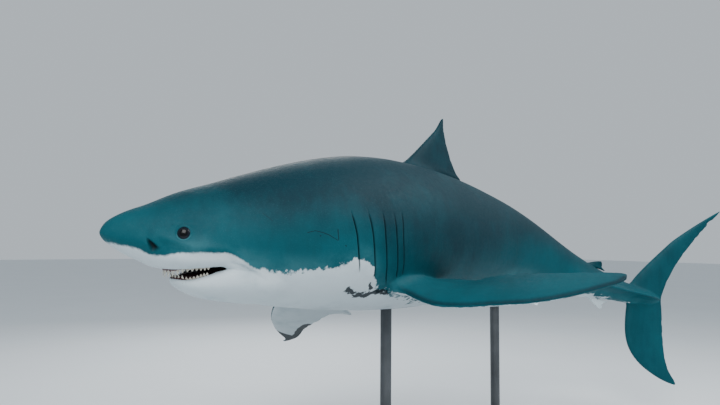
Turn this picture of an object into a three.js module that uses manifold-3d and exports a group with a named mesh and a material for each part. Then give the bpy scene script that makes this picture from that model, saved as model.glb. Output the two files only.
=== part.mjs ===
/**
 * Great white shark (Carcharodon carcharias): a life-size still model on a plain display stand.
 *
 * Millimetres, +Z up. The head faces -X, the shark's left side faces -Y, and the underside of the
 * stand's base lies at Z = 0 with its middle at the origin. Body lines are written in per cent of
 * total length, as fish surveys give them, against a station that runs along the spine from the
 * snout (0) to the tip of the tail (about 99).
 */
import * as THREE from 'three';
import { mergeVertices } from 'three/addons/utils/BufferGeometryUtils.js';
import Module from 'manifold-3d';

const wasm = await Module();
wasm.setup();

// ---- driving dimensions ------------------------------------------------------------------

const TOTAL_LENGTH = 4500;
const PER_CENT = TOTAL_LENGTH / 100;
const SNOUT = new THREE.Vector3(-1640, -170, 1250);
const PART_GAP = 0.3;

const BASE = { length: 2200, width: 1000, thickness: 30, chamfer: 6 };
const ROD = { radius: 30, sides: 28, sunk: 2, front: 33, rear: 57 };

const RING_SIDES = 28;
const FOIL_SIDES = 12;
// Thickness of a rounded foil along its chord: the share of sqrt(x), x, x^2, x^3 and x^4.
const FOIL_TERMS = [2.97, -1.26, -3.52, 2.84, -1.03];
const FOIL_EDGE = 0.04;
const TWO_PI = 2 * Math.PI;

// ---- smooth lines through a few knots ----------------------------------------------------

/** A monotone cubic through [station, value] knots, flat beyond both ends. */
function line(knots) {
  const last = knots.length - 1;
  const slope = [];
  for (let i = 0; i < last; i += 1) {
    slope.push((knots[i + 1][1] - knots[i][1]) / (knots[i + 1][0] - knots[i][0]));
  }
  const tangent = knots.map((_, i) => {
    if (i === 0) return slope[0];
    if (i === last) return slope[last - 1];
    if (slope[i - 1] * slope[i] <= 0) return 0;
    return 2 / (1 / slope[i - 1] + 1 / slope[i]);
  });
  return (s) => {
    if (s <= knots[0][0]) return knots[0][1];
    if (s >= knots[last][0]) return knots[last][1];
    let i = 0;
    while (s > knots[i + 1][0]) i += 1;
    const width = knots[i + 1][0] - knots[i][0];
    const t = (s - knots[i][0]) / width;
    const rise = t * t * (3 - 2 * t);
    const ease = t * (1 - t);
    return knots[i][1] * (1 - rise) + knots[i + 1][1] * rise
      + width * ease * (tangent[i] * (1 - t) - tangent[i + 1] * t);
  };
}

// ---- the spine: a swimming bend, head level and tail swept round and dipped ----------------

const SPINE_YAW = line([[0, 0], [13, 0], [30, 0.275], [46, 0.205], [64, -0.157], [82, -0.506], [92, -0.53]]);
const SPINE_DIP = line([[0, 0], [20, 0], [50, 0.06], [66, 0.34], [78, 0.27], [90, 0.06]]);
const SPINE_ROLL = line([[0, 0], [66, 0], [86, -0.2]]);
const SPINE_STEP = 0.25;
const SPINE_END = 102;

function spineAxes(s) {
  const yaw = SPINE_YAW(s);
  const dip = SPINE_DIP(s);
  const roll = SPINE_ROLL(s);
  const back = new THREE.Vector3(
    Math.cos(yaw) * Math.cos(dip), Math.sin(yaw) * Math.cos(dip), -Math.sin(dip));
  const level = new THREE.Vector3(Math.sin(yaw), -Math.cos(yaw), 0);
  const upright = new THREE.Vector3().crossVectors(level, back);
  const left = level.clone().multiplyScalar(Math.cos(roll)).addScaledVector(upright, -Math.sin(roll));
  const up = upright.clone().multiplyScalar(Math.cos(roll)).addScaledVector(level, Math.sin(roll));
  return { back, left, up };
}

const spinePoints = [new THREE.Vector3()];
for (let s = SPINE_STEP; s <= SPINE_END; s += SPINE_STEP) {
  const step = spineAxes(s - SPINE_STEP / 2).back.multiplyScalar(SPINE_STEP);
  spinePoints.push(spinePoints[spinePoints.length - 1].clone().add(step));
}

function spinePoint(s) {
  const place = Math.min(Math.max(s / SPINE_STEP, 0), spinePoints.length - 1.001);
  const index = Math.floor(place);
  return spinePoints[index].clone().lerp(spinePoints[index + 1], place - index);
}

/** Millimetre point at a station, so far to the shark's left and so far up from the spine. */
function place(s, left, up) {
  const axes = spineAxes(s);
  return spinePoint(s).addScaledVector(axes.left, left).addScaledVector(axes.up, up)
    .multiplyScalar(PER_CENT).add(SNOUT);
}

// ---- body lines --------------------------------------------------------------------------

const BACK_LINE = line([[0, 0], [0.5, 0.85], [1.1, 1.35], [2.2, 1.95], [3.7, 2.55], [6.6, 3.85], [9.5, 4.8],
  [13.5, 6.15], [18, 7.5], [22, 8.45], [26, 9.05], [31, 9.3], [36, 9.2], [42, 8.8], [48, 8.1], [54, 7.1],
  [60, 5.9], [66, 4.65], [72, 3.35], [78, 2.15], [82, 1.6], [85, 1.3], [87.2, 0.4]]);
const BELLY_LINE = line([[0, 0], [0.4, -0.62], [0.9, -1.05], [2.1, -1.88], [3.4, -2.5], [5, -3.15], [7, -3.3],
  [9.4, -3.25], [10.8, -4.4], [12.2, -6.1], [14.4, -6.85], [18, -7.35], [22, -7.8], [28, -8.3], [35, -8.5],
  [42, -8.2], [48, -7.6], [54, -6.7], [60, -5.4], [66, -4.15], [72, -2.95], [78, -1.85], [82, -1.4],
  [85, -1.2], [87.2, -0.4]]);
const HALF_WIDTH = line([[0, 0], [0.4, 0.72], [1, 1.25], [2, 1.95], [4, 3.15], [6, 4.1], [8, 4.95],
  [10, 5.65], [14, 6.85], [18, 7.8], [22, 8.35], [27, 8.75], [33, 8.9], [40, 8.45], [46, 7.6],
  [52, 6.5], [58, 5.3], [64, 4.1], [70, 3], [76, 2.1], [81, 1.55], [85, 0.95], [87.2, 0.15]]);
const WIDEST_HEIGHT = line([[0, 0], [3, -0.6], [6, -1.1], [9, -1.2], [12, -0.9], [20, -0.3], [40, 0.1],
  [60, 0]]);
const UPPER_FULLNESS = line([[0, 2], [6, 1.9], [14, 1.95], [30, 2.05], [60, 2.1]]);
const LOWER_FULLNESS = line([[0, 2], [3, 2.2], [5, 2.9], [9.5, 3.3], [12, 2.4], [16, 2.15], [60, 2]]);
const KEEL_WIDTH = line([[68, 0], [74, 0.6], [80, 1.35], [84, 1.1], [87.2, 0.05]]);
const KEEL_SHARPNESS = 24;

/** Offset of the body's skin from the spine, round from the top of the back (0) over the left. */
function bodySection(s, angle) {
  const upper = Math.cos(angle) >= 0;
  const power = 2 / (upper ? UPPER_FULLNESS(s) : LOWER_FULLNESS(s));
  const side = Math.sign(Math.sin(angle)) * Math.abs(Math.sin(angle)) ** power;
  const rise = Math.abs(Math.cos(angle)) ** power;
  const keel = KEEL_WIDTH(s) * Math.abs(Math.sin(angle)) ** KEEL_SHARPNESS * Math.sign(Math.sin(angle));
  const middle = WIDEST_HEIGHT(s);
  const height = upper ? BACK_LINE(s) - middle : BELLY_LINE(s) - middle;
  return { left: side * HALF_WIDTH(s) + keel, up: middle + rise * height };
}

const JAW_FRONT = 6.1;
const JAW_REAR = 16;
const JAW_HALF_WIDTH = line([[6.1, 0], [6.25, 0.85], [6.6, 1.75], [7.3, 2.95], [8.1, 3.9], [9, 4.6],
  [10.2, 5.3], [12, 5.85], [14, 6.1], [16, 5.9]]);
const JAW_TOP = line([[6.1, -4.1], [7, -4.1], [8.3, -3.65], [9.2, -3.3], [10.2, -2.85], [12, -2.6],
  [16, -2.6]]);
const JAW_BOTTOM = line([[6.1, -4.1], [6.22, -4.45], [6.6, -4.88], [7.5, -5.45], [8.8, -6], [10.8, -6.4],
  [14, -6.75], [16, -6.6]]);
const JAW_ROUNDING = { middle: 0.3, upper: 0.62, lower: 0.95 };

function jawSection(s, angle) {
  const top = JAW_TOP(s);
  const bottom = JAW_BOTTOM(s);
  const upper = Math.cos(angle) >= 0;
  const middle = top + (bottom - top) * JAW_ROUNDING.middle;
  const power = upper ? JAW_ROUNDING.upper : JAW_ROUNDING.lower;
  const side = Math.sign(Math.sin(angle)) * Math.abs(Math.sin(angle)) ** power;
  const rise = Math.abs(Math.cos(angle)) ** power;
  return { left: side * JAW_HALF_WIDTH(s), up: middle + rise * ((upper ? top : bottom) - middle) };
}

// ---- solids ------------------------------------------------------------------------------

/** A closed solid from equal rings of points, capped by a fan at each end. */
function ringSolid(rings) {
  const sides = rings[0].length;
  const points = rings.flat();
  const centre = (ring) => ring.reduce((sum, p) => sum.add(p), new THREE.Vector3()).divideScalar(sides);
  points.push(centre(rings[0]), centre(rings[rings.length - 1]));
  const first = points.length - 2;
  const faces = [];
  for (let r = 0; r + 1 < rings.length; r += 1) {
    for (let k = 0; k < sides; k += 1) {
      const a = r * sides + k;
      const b = r * sides + (k + 1) % sides;
      faces.push([a, b, b + sides], [a, b + sides, a + sides]);
    }
  }
  const lastRing = (rings.length - 1) * sides;
  for (let k = 0; k < sides; k += 1) {
    faces.push([first, (k + 1) % sides, k]);
    faces.push([first + 1, lastRing + k, lastRing + (k + 1) % sides]);
  }
  const solid = makeManifold(points.flatMap((p) => [p.x, p.y, p.z]), faces.flat());
  return solid.volume() > 0 ? solid : makeManifold(points.flatMap((p) => [p.x, p.y, p.z]),
    faces.flatMap(([a, b, c]) => [a, c, b]));
}

function makeManifold(coordinates, indices) {
  const mesh = new wasm.Mesh({
    numProp: 3,
    vertProperties: new Float32Array(coordinates),
    triVerts: new Uint32Array(indices),
  });
  mesh.merge();
  return new wasm.Manifold(mesh);
}

function fromGeometry(geometry) {
  geometry.deleteAttribute('normal');
  geometry.deleteAttribute('uv');
  const merged = mergeVertices(geometry, 1e-4);
  return makeManifold(merged.attributes.position.array, merged.index.array);
}

function toGeometry(solid) {
  const mesh = solid.getMesh();
  const geometry = new THREE.BufferGeometry();
  geometry.setAttribute('position', new THREE.BufferAttribute(mesh.vertProperties, mesh.numProp));
  geometry.setIndex(new THREE.BufferAttribute(mesh.triVerts, 1));
  return geometry;
}

/** Stations from one end to the other, closer together where spacing(s) is small. */
function stations(from, to, spacing) {
  const list = [from];
  while (list[list.length - 1] + spacing(list[list.length - 1]) < to) {
    list.push(list[list.length - 1] + spacing(list[list.length - 1]));
  }
  list.push(to);
  return list;
}

/** A body length lofted along the spine; grow thickens it for cutting a neighbour to fit. */
function spineLoft(list, section, grow = 0) {
  return ringSolid(list.map((s) => {
    const ring = [];
    for (let k = 0; k < RING_SIDES; k += 1) {
      const { left, up } = section(s, TWO_PI * k / RING_SIDES);
      const reach = Math.hypot(left, up - WIDEST_HEIGHT(s)) || 1;
      const more = 1 + grow / PER_CENT / reach;
      ring.push(place(s, left * more, WIDEST_HEIGHT(s) + (up - WIDEST_HEIGHT(s)) * more));
    }
    return ring;
  }));
}

/** A fin: foil sections over its span, each from leading(u) to trailing(u). */
function foilFin({ spans, leading, trailing, thickness, pointAt }) {
  return ringSolid(spans.map((u) => {
    const ring = [];
    const chord = trailing(u) - leading(u);
    for (let k = 0; k < FOIL_SIDES; k += 1) {
      const angle = TWO_PI * (k + 0.5) / FOIL_SIDES;
      const x = (1 + Math.cos(angle)) / 2;
      const powers = [Math.sqrt(x), x, x ** 2, x ** 3, x ** 4];
      const shape = powers.reduce((sum, power, i) => sum + FOIL_TERMS[i] * power, 0);
      const half = (thickness(u) * shape + FOIL_EDGE) / 2;
      ring.push(pointAt(u, leading(u) + x * chord, Math.sign(Math.sin(angle)) * half));
    }
    return ring;
  }));
}

function steps(from, to, count, ease = 1) {
  return Array.from({ length: count + 1 }, (_, i) => from + (to - from) * (1 - (1 - i / count) ** ease));
}

/** The half of a solid on one side of a plane square to the spine, half a part gap short of it. */
function ahead(solid, s) {
  const normal = spineAxes(s).back.negate();
  return solid.trimByPlane(normal.toArray(), normal.dot(place(s, 0, 0)) + PART_GAP / 2);
}

function behind(solid, s) {
  const normal = spineAxes(s).back;
  return solid.trimByPlane(normal.toArray(), normal.dot(place(s, 0, 0)) + PART_GAP / 2);
}

// ---- head, trunk and tail ----------------------------------------------------------------

const BODY_END = 87.2;
const bodySpacing = line([[0, 0.45], [2, 0.9], [6, 1.1], [14, 1.7], [27, 2.4], [60, 2.7], [80, 2.2]]);
const bodyStations = stations(0.1, BODY_END, bodySpacing);
const bodyLoft = spineLoft(bodyStations, bodySection);
const growth = PART_GAP * 1.4; // a little over the gap, so that flat facets still clear it
const grownStations = [...bodyStations.slice(0, -1), BODY_END + growth / PER_CENT];
const bodyLoftGrown = spineLoft(grownStations, bodySection, growth);

const jawStations = stations(JAW_FRONT + 0.05, JAW_REAR, line([[6, 0.2], [7, 0.7], [9, 1.2], [12, 1.5]]));
const jawLoft = spineLoft(jawStations, jawSection);

const MOUTH_CORNER = { station: 10.3, up: -2.85 };
const JAW_HINGE_SLANT = 0.55;
const hingeNormal = new THREE.Vector3(-Math.cos(JAW_HINGE_SLANT), 0, -Math.sin(JAW_HINGE_SLANT));
const hingePoint = place(MOUTH_CORNER.station, 0, MOUTH_CORNER.up);
const inJaw = (solid) => solid.trimByPlane(hingeNormal.toArray(), hingeNormal.dot(hingePoint) + PART_GAP / 2);
const offJaw = (solid) => solid.trimByPlane(
  hingeNormal.clone().negate().toArray(), -hingeNormal.dot(hingePoint) + PART_GAP / 2);

// Eyes: balls sunk in sockets, their middles just inside the skin.

const EYE = { station: 6.1, up: 0, radius: 38, sunk: 31, detail: 12, aim: { back: 1.85, down: 0.95 } };

function skinPoint(s, up, side) {
  const middle = WIDEST_HEIGHT(s);
  const height = up >= middle ? BACK_LINE(s) - middle : middle - BELLY_LINE(s);
  const fullness = up >= middle ? UPPER_FULLNESS(s) : LOWER_FULLNESS(s);
  const rise = Math.min(Math.abs(up - middle) / height, 1);
  return place(s, side * HALF_WIDTH(s) * (1 - rise ** fullness) ** (1 / fullness), up);
}

function ball(centre, radius, detail) {
  const geometry = new THREE.SphereGeometry(radius, detail, Math.round(detail * 0.6));
  geometry.translate(centre.x, centre.y, centre.z);
  return fromGeometry(geometry);
}

function eyeCentre(side) {
  const skin = skinPoint(EYE.station, EYE.up, side);
  const inward = place(EYE.station + EYE.aim.back, 0, EYE.up - EYE.aim.down).sub(skin).normalize();
  return skin.addScaledVector(inward, EYE.sunk);
}

// Nostrils: short slanted slots under the snout's sides.

const NOSTRIL = { station: 3.7, up: -1, length: 42, width: 9, depth: 30, slant: 0.9, capSteps: 3, sides: 8 };

function nostrilSlot(side) {
  const geometry = new THREE.CapsuleGeometry(NOSTRIL.width / 2, NOSTRIL.length - NOSTRIL.width,
    NOSTRIL.capSteps, NOSTRIL.sides);
  geometry.scale(1, 1, NOSTRIL.depth / NOSTRIL.width);
  geometry.rotateX(Math.PI / 2);
  geometry.rotateX(-side * Math.PI / 2);
  geometry.rotateY(NOSTRIL.slant);
  const centre = skinPoint(NOSTRIL.station, NOSTRIL.up, side);
  geometry.translate(centre.x, centre.y, centre.z);
  return fromGeometry(geometry);
}

// Gill slits: five thin blades cut into each side.

const GILLS = {
  stations: [20.5, 22.07, 23.35, 24.6, 25.4],
  top: [2.2, 2.3, 2.2, 2.1, 2.4],
  bottom: [-3.6, -4.3, -5, -4.9, -4.2],
  lean: [-0.12, -0.08, 0.03, 0.02, 0.1],
  sweep: line([[-5.4, 1.85], [-4, 0.85], [-3.2, 0.6], [-1.6, 0.2], [0, 0], [2.3, -0.1]]),
  width: 4.5, depth: 16, proud: 9, pieces: 4, narrowest: 0.4, aim: 0.4,
};

function gillBlade(index, side) {
  const rings = [];
  for (let i = 0; i <= GILLS.pieces; i += 1) {
    const t = i / GILLS.pieces;
    const up = GILLS.top[index] + (GILLS.bottom[index] - GILLS.top[index]) * t;
    const station = GILLS.stations[index] + GILLS.sweep(up) + GILLS.lean[index] * Math.max(up, 0);
    const skin = skinPoint(station, up, side);
    const inward = place(station, 0, up * GILLS.aim).sub(skin).normalize();
    const along = spineAxes(station).back;
    const half = GILLS.width / 2 * (GILLS.narrowest + (1 - GILLS.narrowest) * Math.sin(Math.PI * t));
    const corner = (across, deep) => skin.clone().addScaledVector(along, across * half)
      .addScaledVector(inward, deep);
    rings.push([
      corner(-1, -GILLS.proud), corner(1, -GILLS.proud), corner(1, GILLS.depth), corner(-1, GILLS.depth),
    ]);
  }
  return ringSolid(rings);
}

// Teeth: a row along each jaw, short enough to clear the other jaw.

const TEETH = {
  perSide: 6, upperHeight: 22, lowerHeight: 15, width: 24, thickness: 8, root: 10,
  upperFront: 5.6, lowerFront: 6.45, rear: 8.2, upperReach: 3.7, lowerReach: 3.2, sunk: 0.1, splay: 1.6,
};

function tooth(root, back, up, height, width) {
  const across = new THREE.Vector3().crossVectors(up, back).normalize();
  const corner = (a, b, c) => root.clone().addScaledVector(across, a).addScaledVector(back, b)
    .addScaledVector(up, c);
  const points = [
    corner(0, 0, height),
    corner(-width / 2, -TEETH.thickness / 2, 0), corner(width / 2, -TEETH.thickness / 2, 0),
    corner(width / 2, TEETH.thickness / 2, 0), corner(-width / 2, TEETH.thickness / 2, 0),
    corner(0, 0, -TEETH.root),
  ];
  const geometry = new THREE.BufferGeometry();
  geometry.setAttribute('position', new THREE.Float32BufferAttribute(points.flatMap((p) => p.toArray()), 3));
  geometry.setIndex([0, 1, 2, 0, 2, 3, 0, 3, 4, 0, 4, 1, 5, 2, 1, 5, 3, 2, 5, 4, 3, 5, 1, 4]);
  const solid = makeManifold(geometry.attributes.position.array, geometry.index.array);
  return solid.volume() > 0 ? solid : makeManifold(geometry.attributes.position.array,
    [0, 2, 1, 0, 3, 2, 0, 4, 3, 0, 1, 4, 5, 1, 2, 5, 2, 3, 5, 3, 4, 5, 4, 1]);
}

function toothRow(upper) {
  const row = [];
  for (let i = -TEETH.perSide; i < TEETH.perSide; i += 1) {
    const across = (i + 0.5) / TEETH.perSide;
    const front = upper ? TEETH.upperFront : TEETH.lowerFront;
    const station = front + (TEETH.rear - front) * across * across;
    const left = across * (upper ? TEETH.upperReach : TEETH.lowerReach);
    const fade = Math.min(1, 1.25 - Math.abs(across));
    const height = (upper ? TEETH.upperHeight : TEETH.lowerHeight) * fade;
    const rootUp = upper ? palate(station, left) + TEETH.sunk : JAW_TOP(station) - TEETH.sunk;
    const root = place(station, left, rootUp);
    const outward = new THREE.Vector3(-1, -across * TEETH.splay, 0).normalize();
    row.push(tooth(root, outward, new THREE.Vector3(0, 0, upper ? -1 : 1), height, TEETH.width * fade));
  }
  return wasm.Manifold.union(row);
}

/** Height of the roof of the mouth at a station and so far to the left. */
function palate(station, left) {
  const middle = WIDEST_HEIGHT(station);
  const fullness = LOWER_FULLNESS(station);
  const reach = Math.min(Math.abs(left) / HALF_WIDTH(station), 1);
  return middle + (BELLY_LINE(station) - middle) * (1 - reach ** fullness) ** (1 / fullness);
}

// ---- fins --------------------------------------------------------------------------------

const PECTORAL = {
  station: 25.5, frame: 27, left: 7.25, up: -5.15, span: 19.2, inside: -3, free: 1.1,
  root: 6.5, chord: 10.15, sweep: 9.47, curved: 0.84, power: 2.41, lean: 0.12, blunt: 0.35,
  thickness: 1.35, edge: 0.16,
  waist: { left: 0.12, right: 0.08 },
  reach: { left: 1.033, right: 0.88 },
  drop: {
    left: line([[0, 0], [0.25, -1.76], [0.5, -2.3], [0.75, -3.24], [1, -3.84]]),
    right: line([[0, 0], [0.25, -1.12], [0.5, -3.2], [0.75, -4.97], [1, -7.24]]),
  },
  twist: {
    left: line([[0, 0.036], [0.4, 0.419], [0.75, 0.581], [1, 0.583]]),
    right: line([[0, -0.494], [1, -0.302]]),
  },
  shear: { left: 0, right: 0.05 },
  taper: { left: 0.64, right: 0.46 },
  curl: { left: 0, right: 1.1 },
};
const CURL_POWER = 10;
const SLOPE_STEP = 0.03;

function pectoralFin(name) {
  const side = name === 'left' ? 1 : -1;
  const axes = spineAxes(PECTORAL.frame);
  const out = axes.left.clone().multiplyScalar(side);
  const root = spinePoint(PECTORAL.station).addScaledVector(out, PECTORAL.left)
    .addScaledVector(axes.up, PECTORAL.up);
  const fraction = (u) => Math.max(u, 0) / PECTORAL.span;
  const drop = PECTORAL.drop[name];
  const rootSlope = drop(SLOPE_STEP) / SLOPE_STEP / PECTORAL.span;
  const pointAt = (u, v, w) => {
    const t = fraction(u);
    const fall = u < 0 ? rootSlope * u : drop(t);
    const slope = (drop(t - SLOPE_STEP) - drop(t + SLOPE_STEP)) / (2 * SLOPE_STEP);
    const droop = Math.atan(slope / PECTORAL.span);
    const twist = PECTORAL.twist[name](t);
    const normal = out.clone().multiplyScalar(Math.sin(droop)).addScaledVector(axes.up, Math.cos(droop));
    const back = axes.back.clone().multiplyScalar(Math.cos(twist)).addScaledVector(normal, Math.sin(twist));
    const face = normal.clone().multiplyScalar(Math.cos(twist)).addScaledVector(axes.back, -Math.sin(twist));
    return root.clone().addScaledVector(out, u * PECTORAL.reach[name]).addScaledVector(axes.up, fall)
      .addScaledVector(axes.back, Math.max(u, 0) * Math.tan(PECTORAL.shear[name]))
      .addScaledVector(back, v).addScaledVector(face, w).multiplyScalar(PER_CENT).add(SNOUT);
  };
  const curl = (u) => PECTORAL.curl[name] * fraction(u) ** CURL_POWER;
  const leading = (u) => {
    const swept = (1 - PECTORAL.curved) * fraction(u) + PECTORAL.curved * fraction(u) ** PECTORAL.power;
    return PECTORAL.sweep * swept + curl(u) - PECTORAL.lean * Math.min(u, 0);
  };
  const rootWidth = line([[PECTORAL.inside, PECTORAL.root - 1], [-0.4, PECTORAL.root],
    [0.3, PECTORAL.root + 0.9], [PECTORAL.free, PECTORAL.chord]]);
  const width = (u) => {
    const t = fraction(u);
    const narrowed = (1 - t) ** PECTORAL.taper[name] * (1 - PECTORAL.waist[name] * Math.sin(Math.PI * t));
    return PECTORAL.chord * narrowed + PECTORAL.blunt - curl(u) / 3;
  };
  return foilFin({
    spans: [PECTORAL.inside, -1, 0, 0.5, PECTORAL.free, ...steps(2.4, PECTORAL.span, 11, 1.5)],
    leading,
    trailing: (u) => leading(u) + (u < PECTORAL.free ? rootWidth(u) : width(u)),
    thickness: (u) => PECTORAL.thickness * (1 - fraction(u)) ** 0.8 + PECTORAL.edge,
    pointAt,
  });
}

const DORSAL = {
  height: 8.2, flare: 0.25, inside: -1.6, thickness: 1.25, edge: 0.16,
  front: line([[0, 35.9], [2.8, 39.1], [4.6, 41], [6.3, 42.7], [7.5, 43.5], [8.2, 43.9]]),
  rear: line([[-1.6, 45.2], [0.1, 46.1], [0.7, 48.3], [1.3, 47.4], [2.65, 46.25], [3.6, 45.65], [4.8, 45],
    [6.25, 44.45], [7.5, 44.2], [8.2, 44.25]]),
};

function dorsalFin() {
  const part = (u) => Math.max(u, 0) / DORSAL.height;
  const flare = (u) => (u > 0 ? DORSAL.flare * Math.max(0, 1 - u) ** 2 : 0);
  return foilFin({
    spans: [DORSAL.inside, 0.1, 0.4, 0.7, 1.3, ...steps(2.2, DORSAL.height, 7, 1.4)],
    leading: (u) => DORSAL.front(u) - flare(u),
    trailing: DORSAL.rear,
    thickness: (u) => DORSAL.thickness * (1 - part(u)) ** 0.8 + DORSAL.edge,
    pointAt: (u, v, w) => place(v, w, BACK_LINE(v) + u),
  });
}

/** A small fin on the mid-line: the second dorsal (up = 1) or the anal fin (up = -1). */
function smallMedianFin({ station, base, height, reach, up }) {
  const surface = up > 0 ? BACK_LINE : BELLY_LINE;
  const part = (u) => Math.max(u, 0) / height;
  return foilFin({
    spans: [-0.5, 0.1, 0.35, 0.7, height * 0.75, height],
    leading: (u) => station + (base + 0.5) * part(u) ** 1.1,
    trailing: line([[-0.5, station + base - 0.2], [0.1, station + base], [0.35, station + reach],
      [0.7, station + reach - 0.7], [height, station + base + 1.1]]),
    thickness: (u) => 0.4 * (1 - part(u)) + 0.1,
    pointAt: (u, v, w) => place(v, w * up, surface(v) + up * u),
  });
}

const PELVIC = {
  station: 53, left: 4.2, up: -4.6, span: 4.6, sweep: 3.6, droop: 0.75, inside: -1.5,
  thickness: 0.6, edge: 0.12,
  rear: line([[-1.5, 4], [0, 4.6], [0.5, 7.3], [1.1, 6.9], [2.2, 5.9], [3.5, 5.3], [4.6, 4.6]]),
};

function pelvicFin(side) {
  const axes = spineAxes(PELVIC.station + 2);
  const out = axes.left.clone().multiplyScalar(side * Math.cos(PELVIC.droop))
    .addScaledVector(axes.up, -Math.sin(PELVIC.droop));
  const normal = axes.left.clone().multiplyScalar(side * Math.sin(PELVIC.droop))
    .addScaledVector(axes.up, Math.cos(PELVIC.droop));
  const root = spinePoint(PELVIC.station).addScaledVector(axes.left, side * PELVIC.left)
    .addScaledVector(axes.up, PELVIC.up);
  const part = (u) => Math.max(u, 0) / PELVIC.span;
  return foilFin({
    spans: [PELVIC.inside, 0, 0.5, 1.1, 2.2, 3.2, 4, PELVIC.span],
    leading: (u) => PELVIC.sweep * part(u) ** 1.1,
    trailing: PELVIC.rear,
    thickness: (u) => PELVIC.thickness * (1 - part(u)) + PELVIC.edge,
    pointAt: (u, v, w) => root.clone().addScaledVector(out, u).addScaledVector(axes.back, v)
      .addScaledVector(normal, w).multiplyScalar(PER_CENT).add(SNOUT),
  });
}

const CAUDAL = {
  fork: 87.4, thickness: 1.05, edge: 0.14,
  upper: { height: 15.6, front: 81.4, tip: 98.8, leadPower: 1.5, trailPower: 1.4, blunt: 0.25 },
  lower: { height: 13, front: 81.8, tip: 88.2, leadPower: 4.4, trailPower: 6, blunt: 1 },
};

/** One lobe of the tail fin, from just across the spine out to its tip. */
function tailLobe(name) {
  const lobe = CAUDAL[name];
  const up = name === 'upper' ? 1 : -1;
  const part = (u) => Math.max(u, 0) / lobe.height;
  return foilFin({
    spans: [PART_GAP / 2 / PER_CENT, ...steps(0.8, lobe.height, 11, 1.3)],
    leading: (u) => lobe.front + (lobe.tip - lobe.front) * part(u) ** lobe.leadPower,
    trailing: (u) => CAUDAL.fork + (lobe.tip + lobe.blunt - CAUDAL.fork) * part(u) ** lobe.trailPower,
    thickness: (u) => CAUDAL.thickness * (1 - part(u)) ** 0.7 + CAUDAL.edge,
    pointAt: (u, v, w) => place(v, w * up, up * u),
  });
}

// ---- stand -------------------------------------------------------------------------------

function standBase() {
  const { length, width, thickness, chamfer } = BASE;
  const outline = new THREE.Shape();
  const x = length / 2 - chamfer;
  const y = width / 2 - chamfer;
  outline.moveTo(-x, -y);
  outline.lineTo(x, -y);
  outline.lineTo(x, y);
  outline.lineTo(-x, y);
  outline.closePath();
  const geometry = new THREE.ExtrudeGeometry(outline, {
    depth: thickness - chamfer, bevelEnabled: true, bevelThickness: chamfer, bevelSize: chamfer,
    bevelOffset: 0, bevelSegments: 1, steps: 1,
  });
  const solid = fromGeometry(geometry);
  return solid.trimByPlane([0, 0, 1], 0);
}

function standRod(station) {
  const top = place(station, 0, BELLY_LINE(station) + ROD.sunk);
  const height = top.z - BASE.thickness - PART_GAP;
  const geometry = new THREE.CylinderGeometry(ROD.radius, ROD.radius, height, ROD.sides);
  geometry.rotateX(Math.PI / 2);
  geometry.translate(top.x, top.y, BASE.thickness + PART_GAP + height / 2);
  return fromGeometry(geometry).subtract(bodyLoftGrown);
}

// ---- assembly ----------------------------------------------------------------------------

const FINISH = {
  skin: { color: 0x4d5f66, roughness: 0.45, metalness: 0 },
  eye: { color: 0x08090a, roughness: 0.08, metalness: 0 },
  stand: { color: 0x2b2d30, roughness: 0.5, metalness: 0.3 },
};

const shark = new THREE.Group();
const asMaterial = ([name, finish]) => [name, new THREE.MeshStandardMaterial({ ...finish, name })];
const materials = Object.fromEntries(Object.entries(FINISH).map(asMaterial));

function add(name, solid, finish) {
  const mesh = new THREE.Mesh(toGeometry(solid), materials[finish].clone());
  mesh.name = name;
  shark.add(mesh);
}

const sides = { left: 1, right: -1 };
let body = bodyLoft.add(offJaw(jawLoft));
for (const side of Object.values(sides)) {
  body = body.subtract(ball(eyeCentre(side), EYE.radius + PART_GAP, EYE.detail)).subtract(nostrilSlot(side));
  for (let i = 0; i < GILLS.stations.length; i += 1) body = body.subtract(gillBlade(i, side));
}
body = body.add(toothRow(true));

const HEAD_END = 18.5;
const TRUNK_MIDDLE = 33.8;
const TRUNK_END = 50;
const STOCK_START = 67;
add('head', ahead(body, HEAD_END), 'skin');
add('trunk_front', ahead(behind(body, HEAD_END), TRUNK_MIDDLE), 'skin');
add('trunk_middle', ahead(behind(body, TRUNK_MIDDLE), TRUNK_END), 'skin');
add('trunk_rear', ahead(behind(body, TRUNK_END), STOCK_START), 'skin');
add('tail_stock', behind(body, STOCK_START), 'skin');
add('lower_jaw', inJaw(jawLoft).subtract(bodyLoftGrown).add(toothRow(false)), 'skin');
for (const [name, side] of Object.entries(sides)) {
  add(`eye_${name}`, ball(eyeCentre(side), EYE.radius, EYE.detail), 'eye');
  add(`pectoral_fin_${name}`, pectoralFin(name).subtract(bodyLoftGrown), 'skin');
  add(`pelvic_fin_${name}`, pelvicFin(side).subtract(bodyLoftGrown), 'skin');
}
add('dorsal_fin', dorsalFin().subtract(bodyLoftGrown), 'skin');
add('second_dorsal_fin', smallMedianFin({ station: 74, base: 1.6, height: 1.5, reach: 3.4, up: 1 })
  .subtract(bodyLoftGrown), 'skin');
add('anal_fin', smallMedianFin({ station: 75.5, base: 1.5, height: 1.6, reach: 3.2, up: -1 })
  .subtract(bodyLoftGrown), 'skin');
add('caudal_fin_upper', tailLobe('upper').subtract(bodyLoftGrown), 'skin');
add('caudal_fin_lower', tailLobe('lower').subtract(bodyLoftGrown), 'skin');
add('stand_base', standBase(), 'stand');
add('stand_rod_front', standRod(ROD.front), 'stand');
add('stand_rod_rear', standRod(ROD.rear), 'stand');

export default shark;
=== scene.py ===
"""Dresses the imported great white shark: one smooth skin, eyes, teeth, the stand's finish and the studio."""

import logging
import math
from dataclasses import dataclass, field
from enum import Enum
from typing import Callable, Sequence

import bpy
import numpy as np
from mathutils import Matrix, Vector


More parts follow.
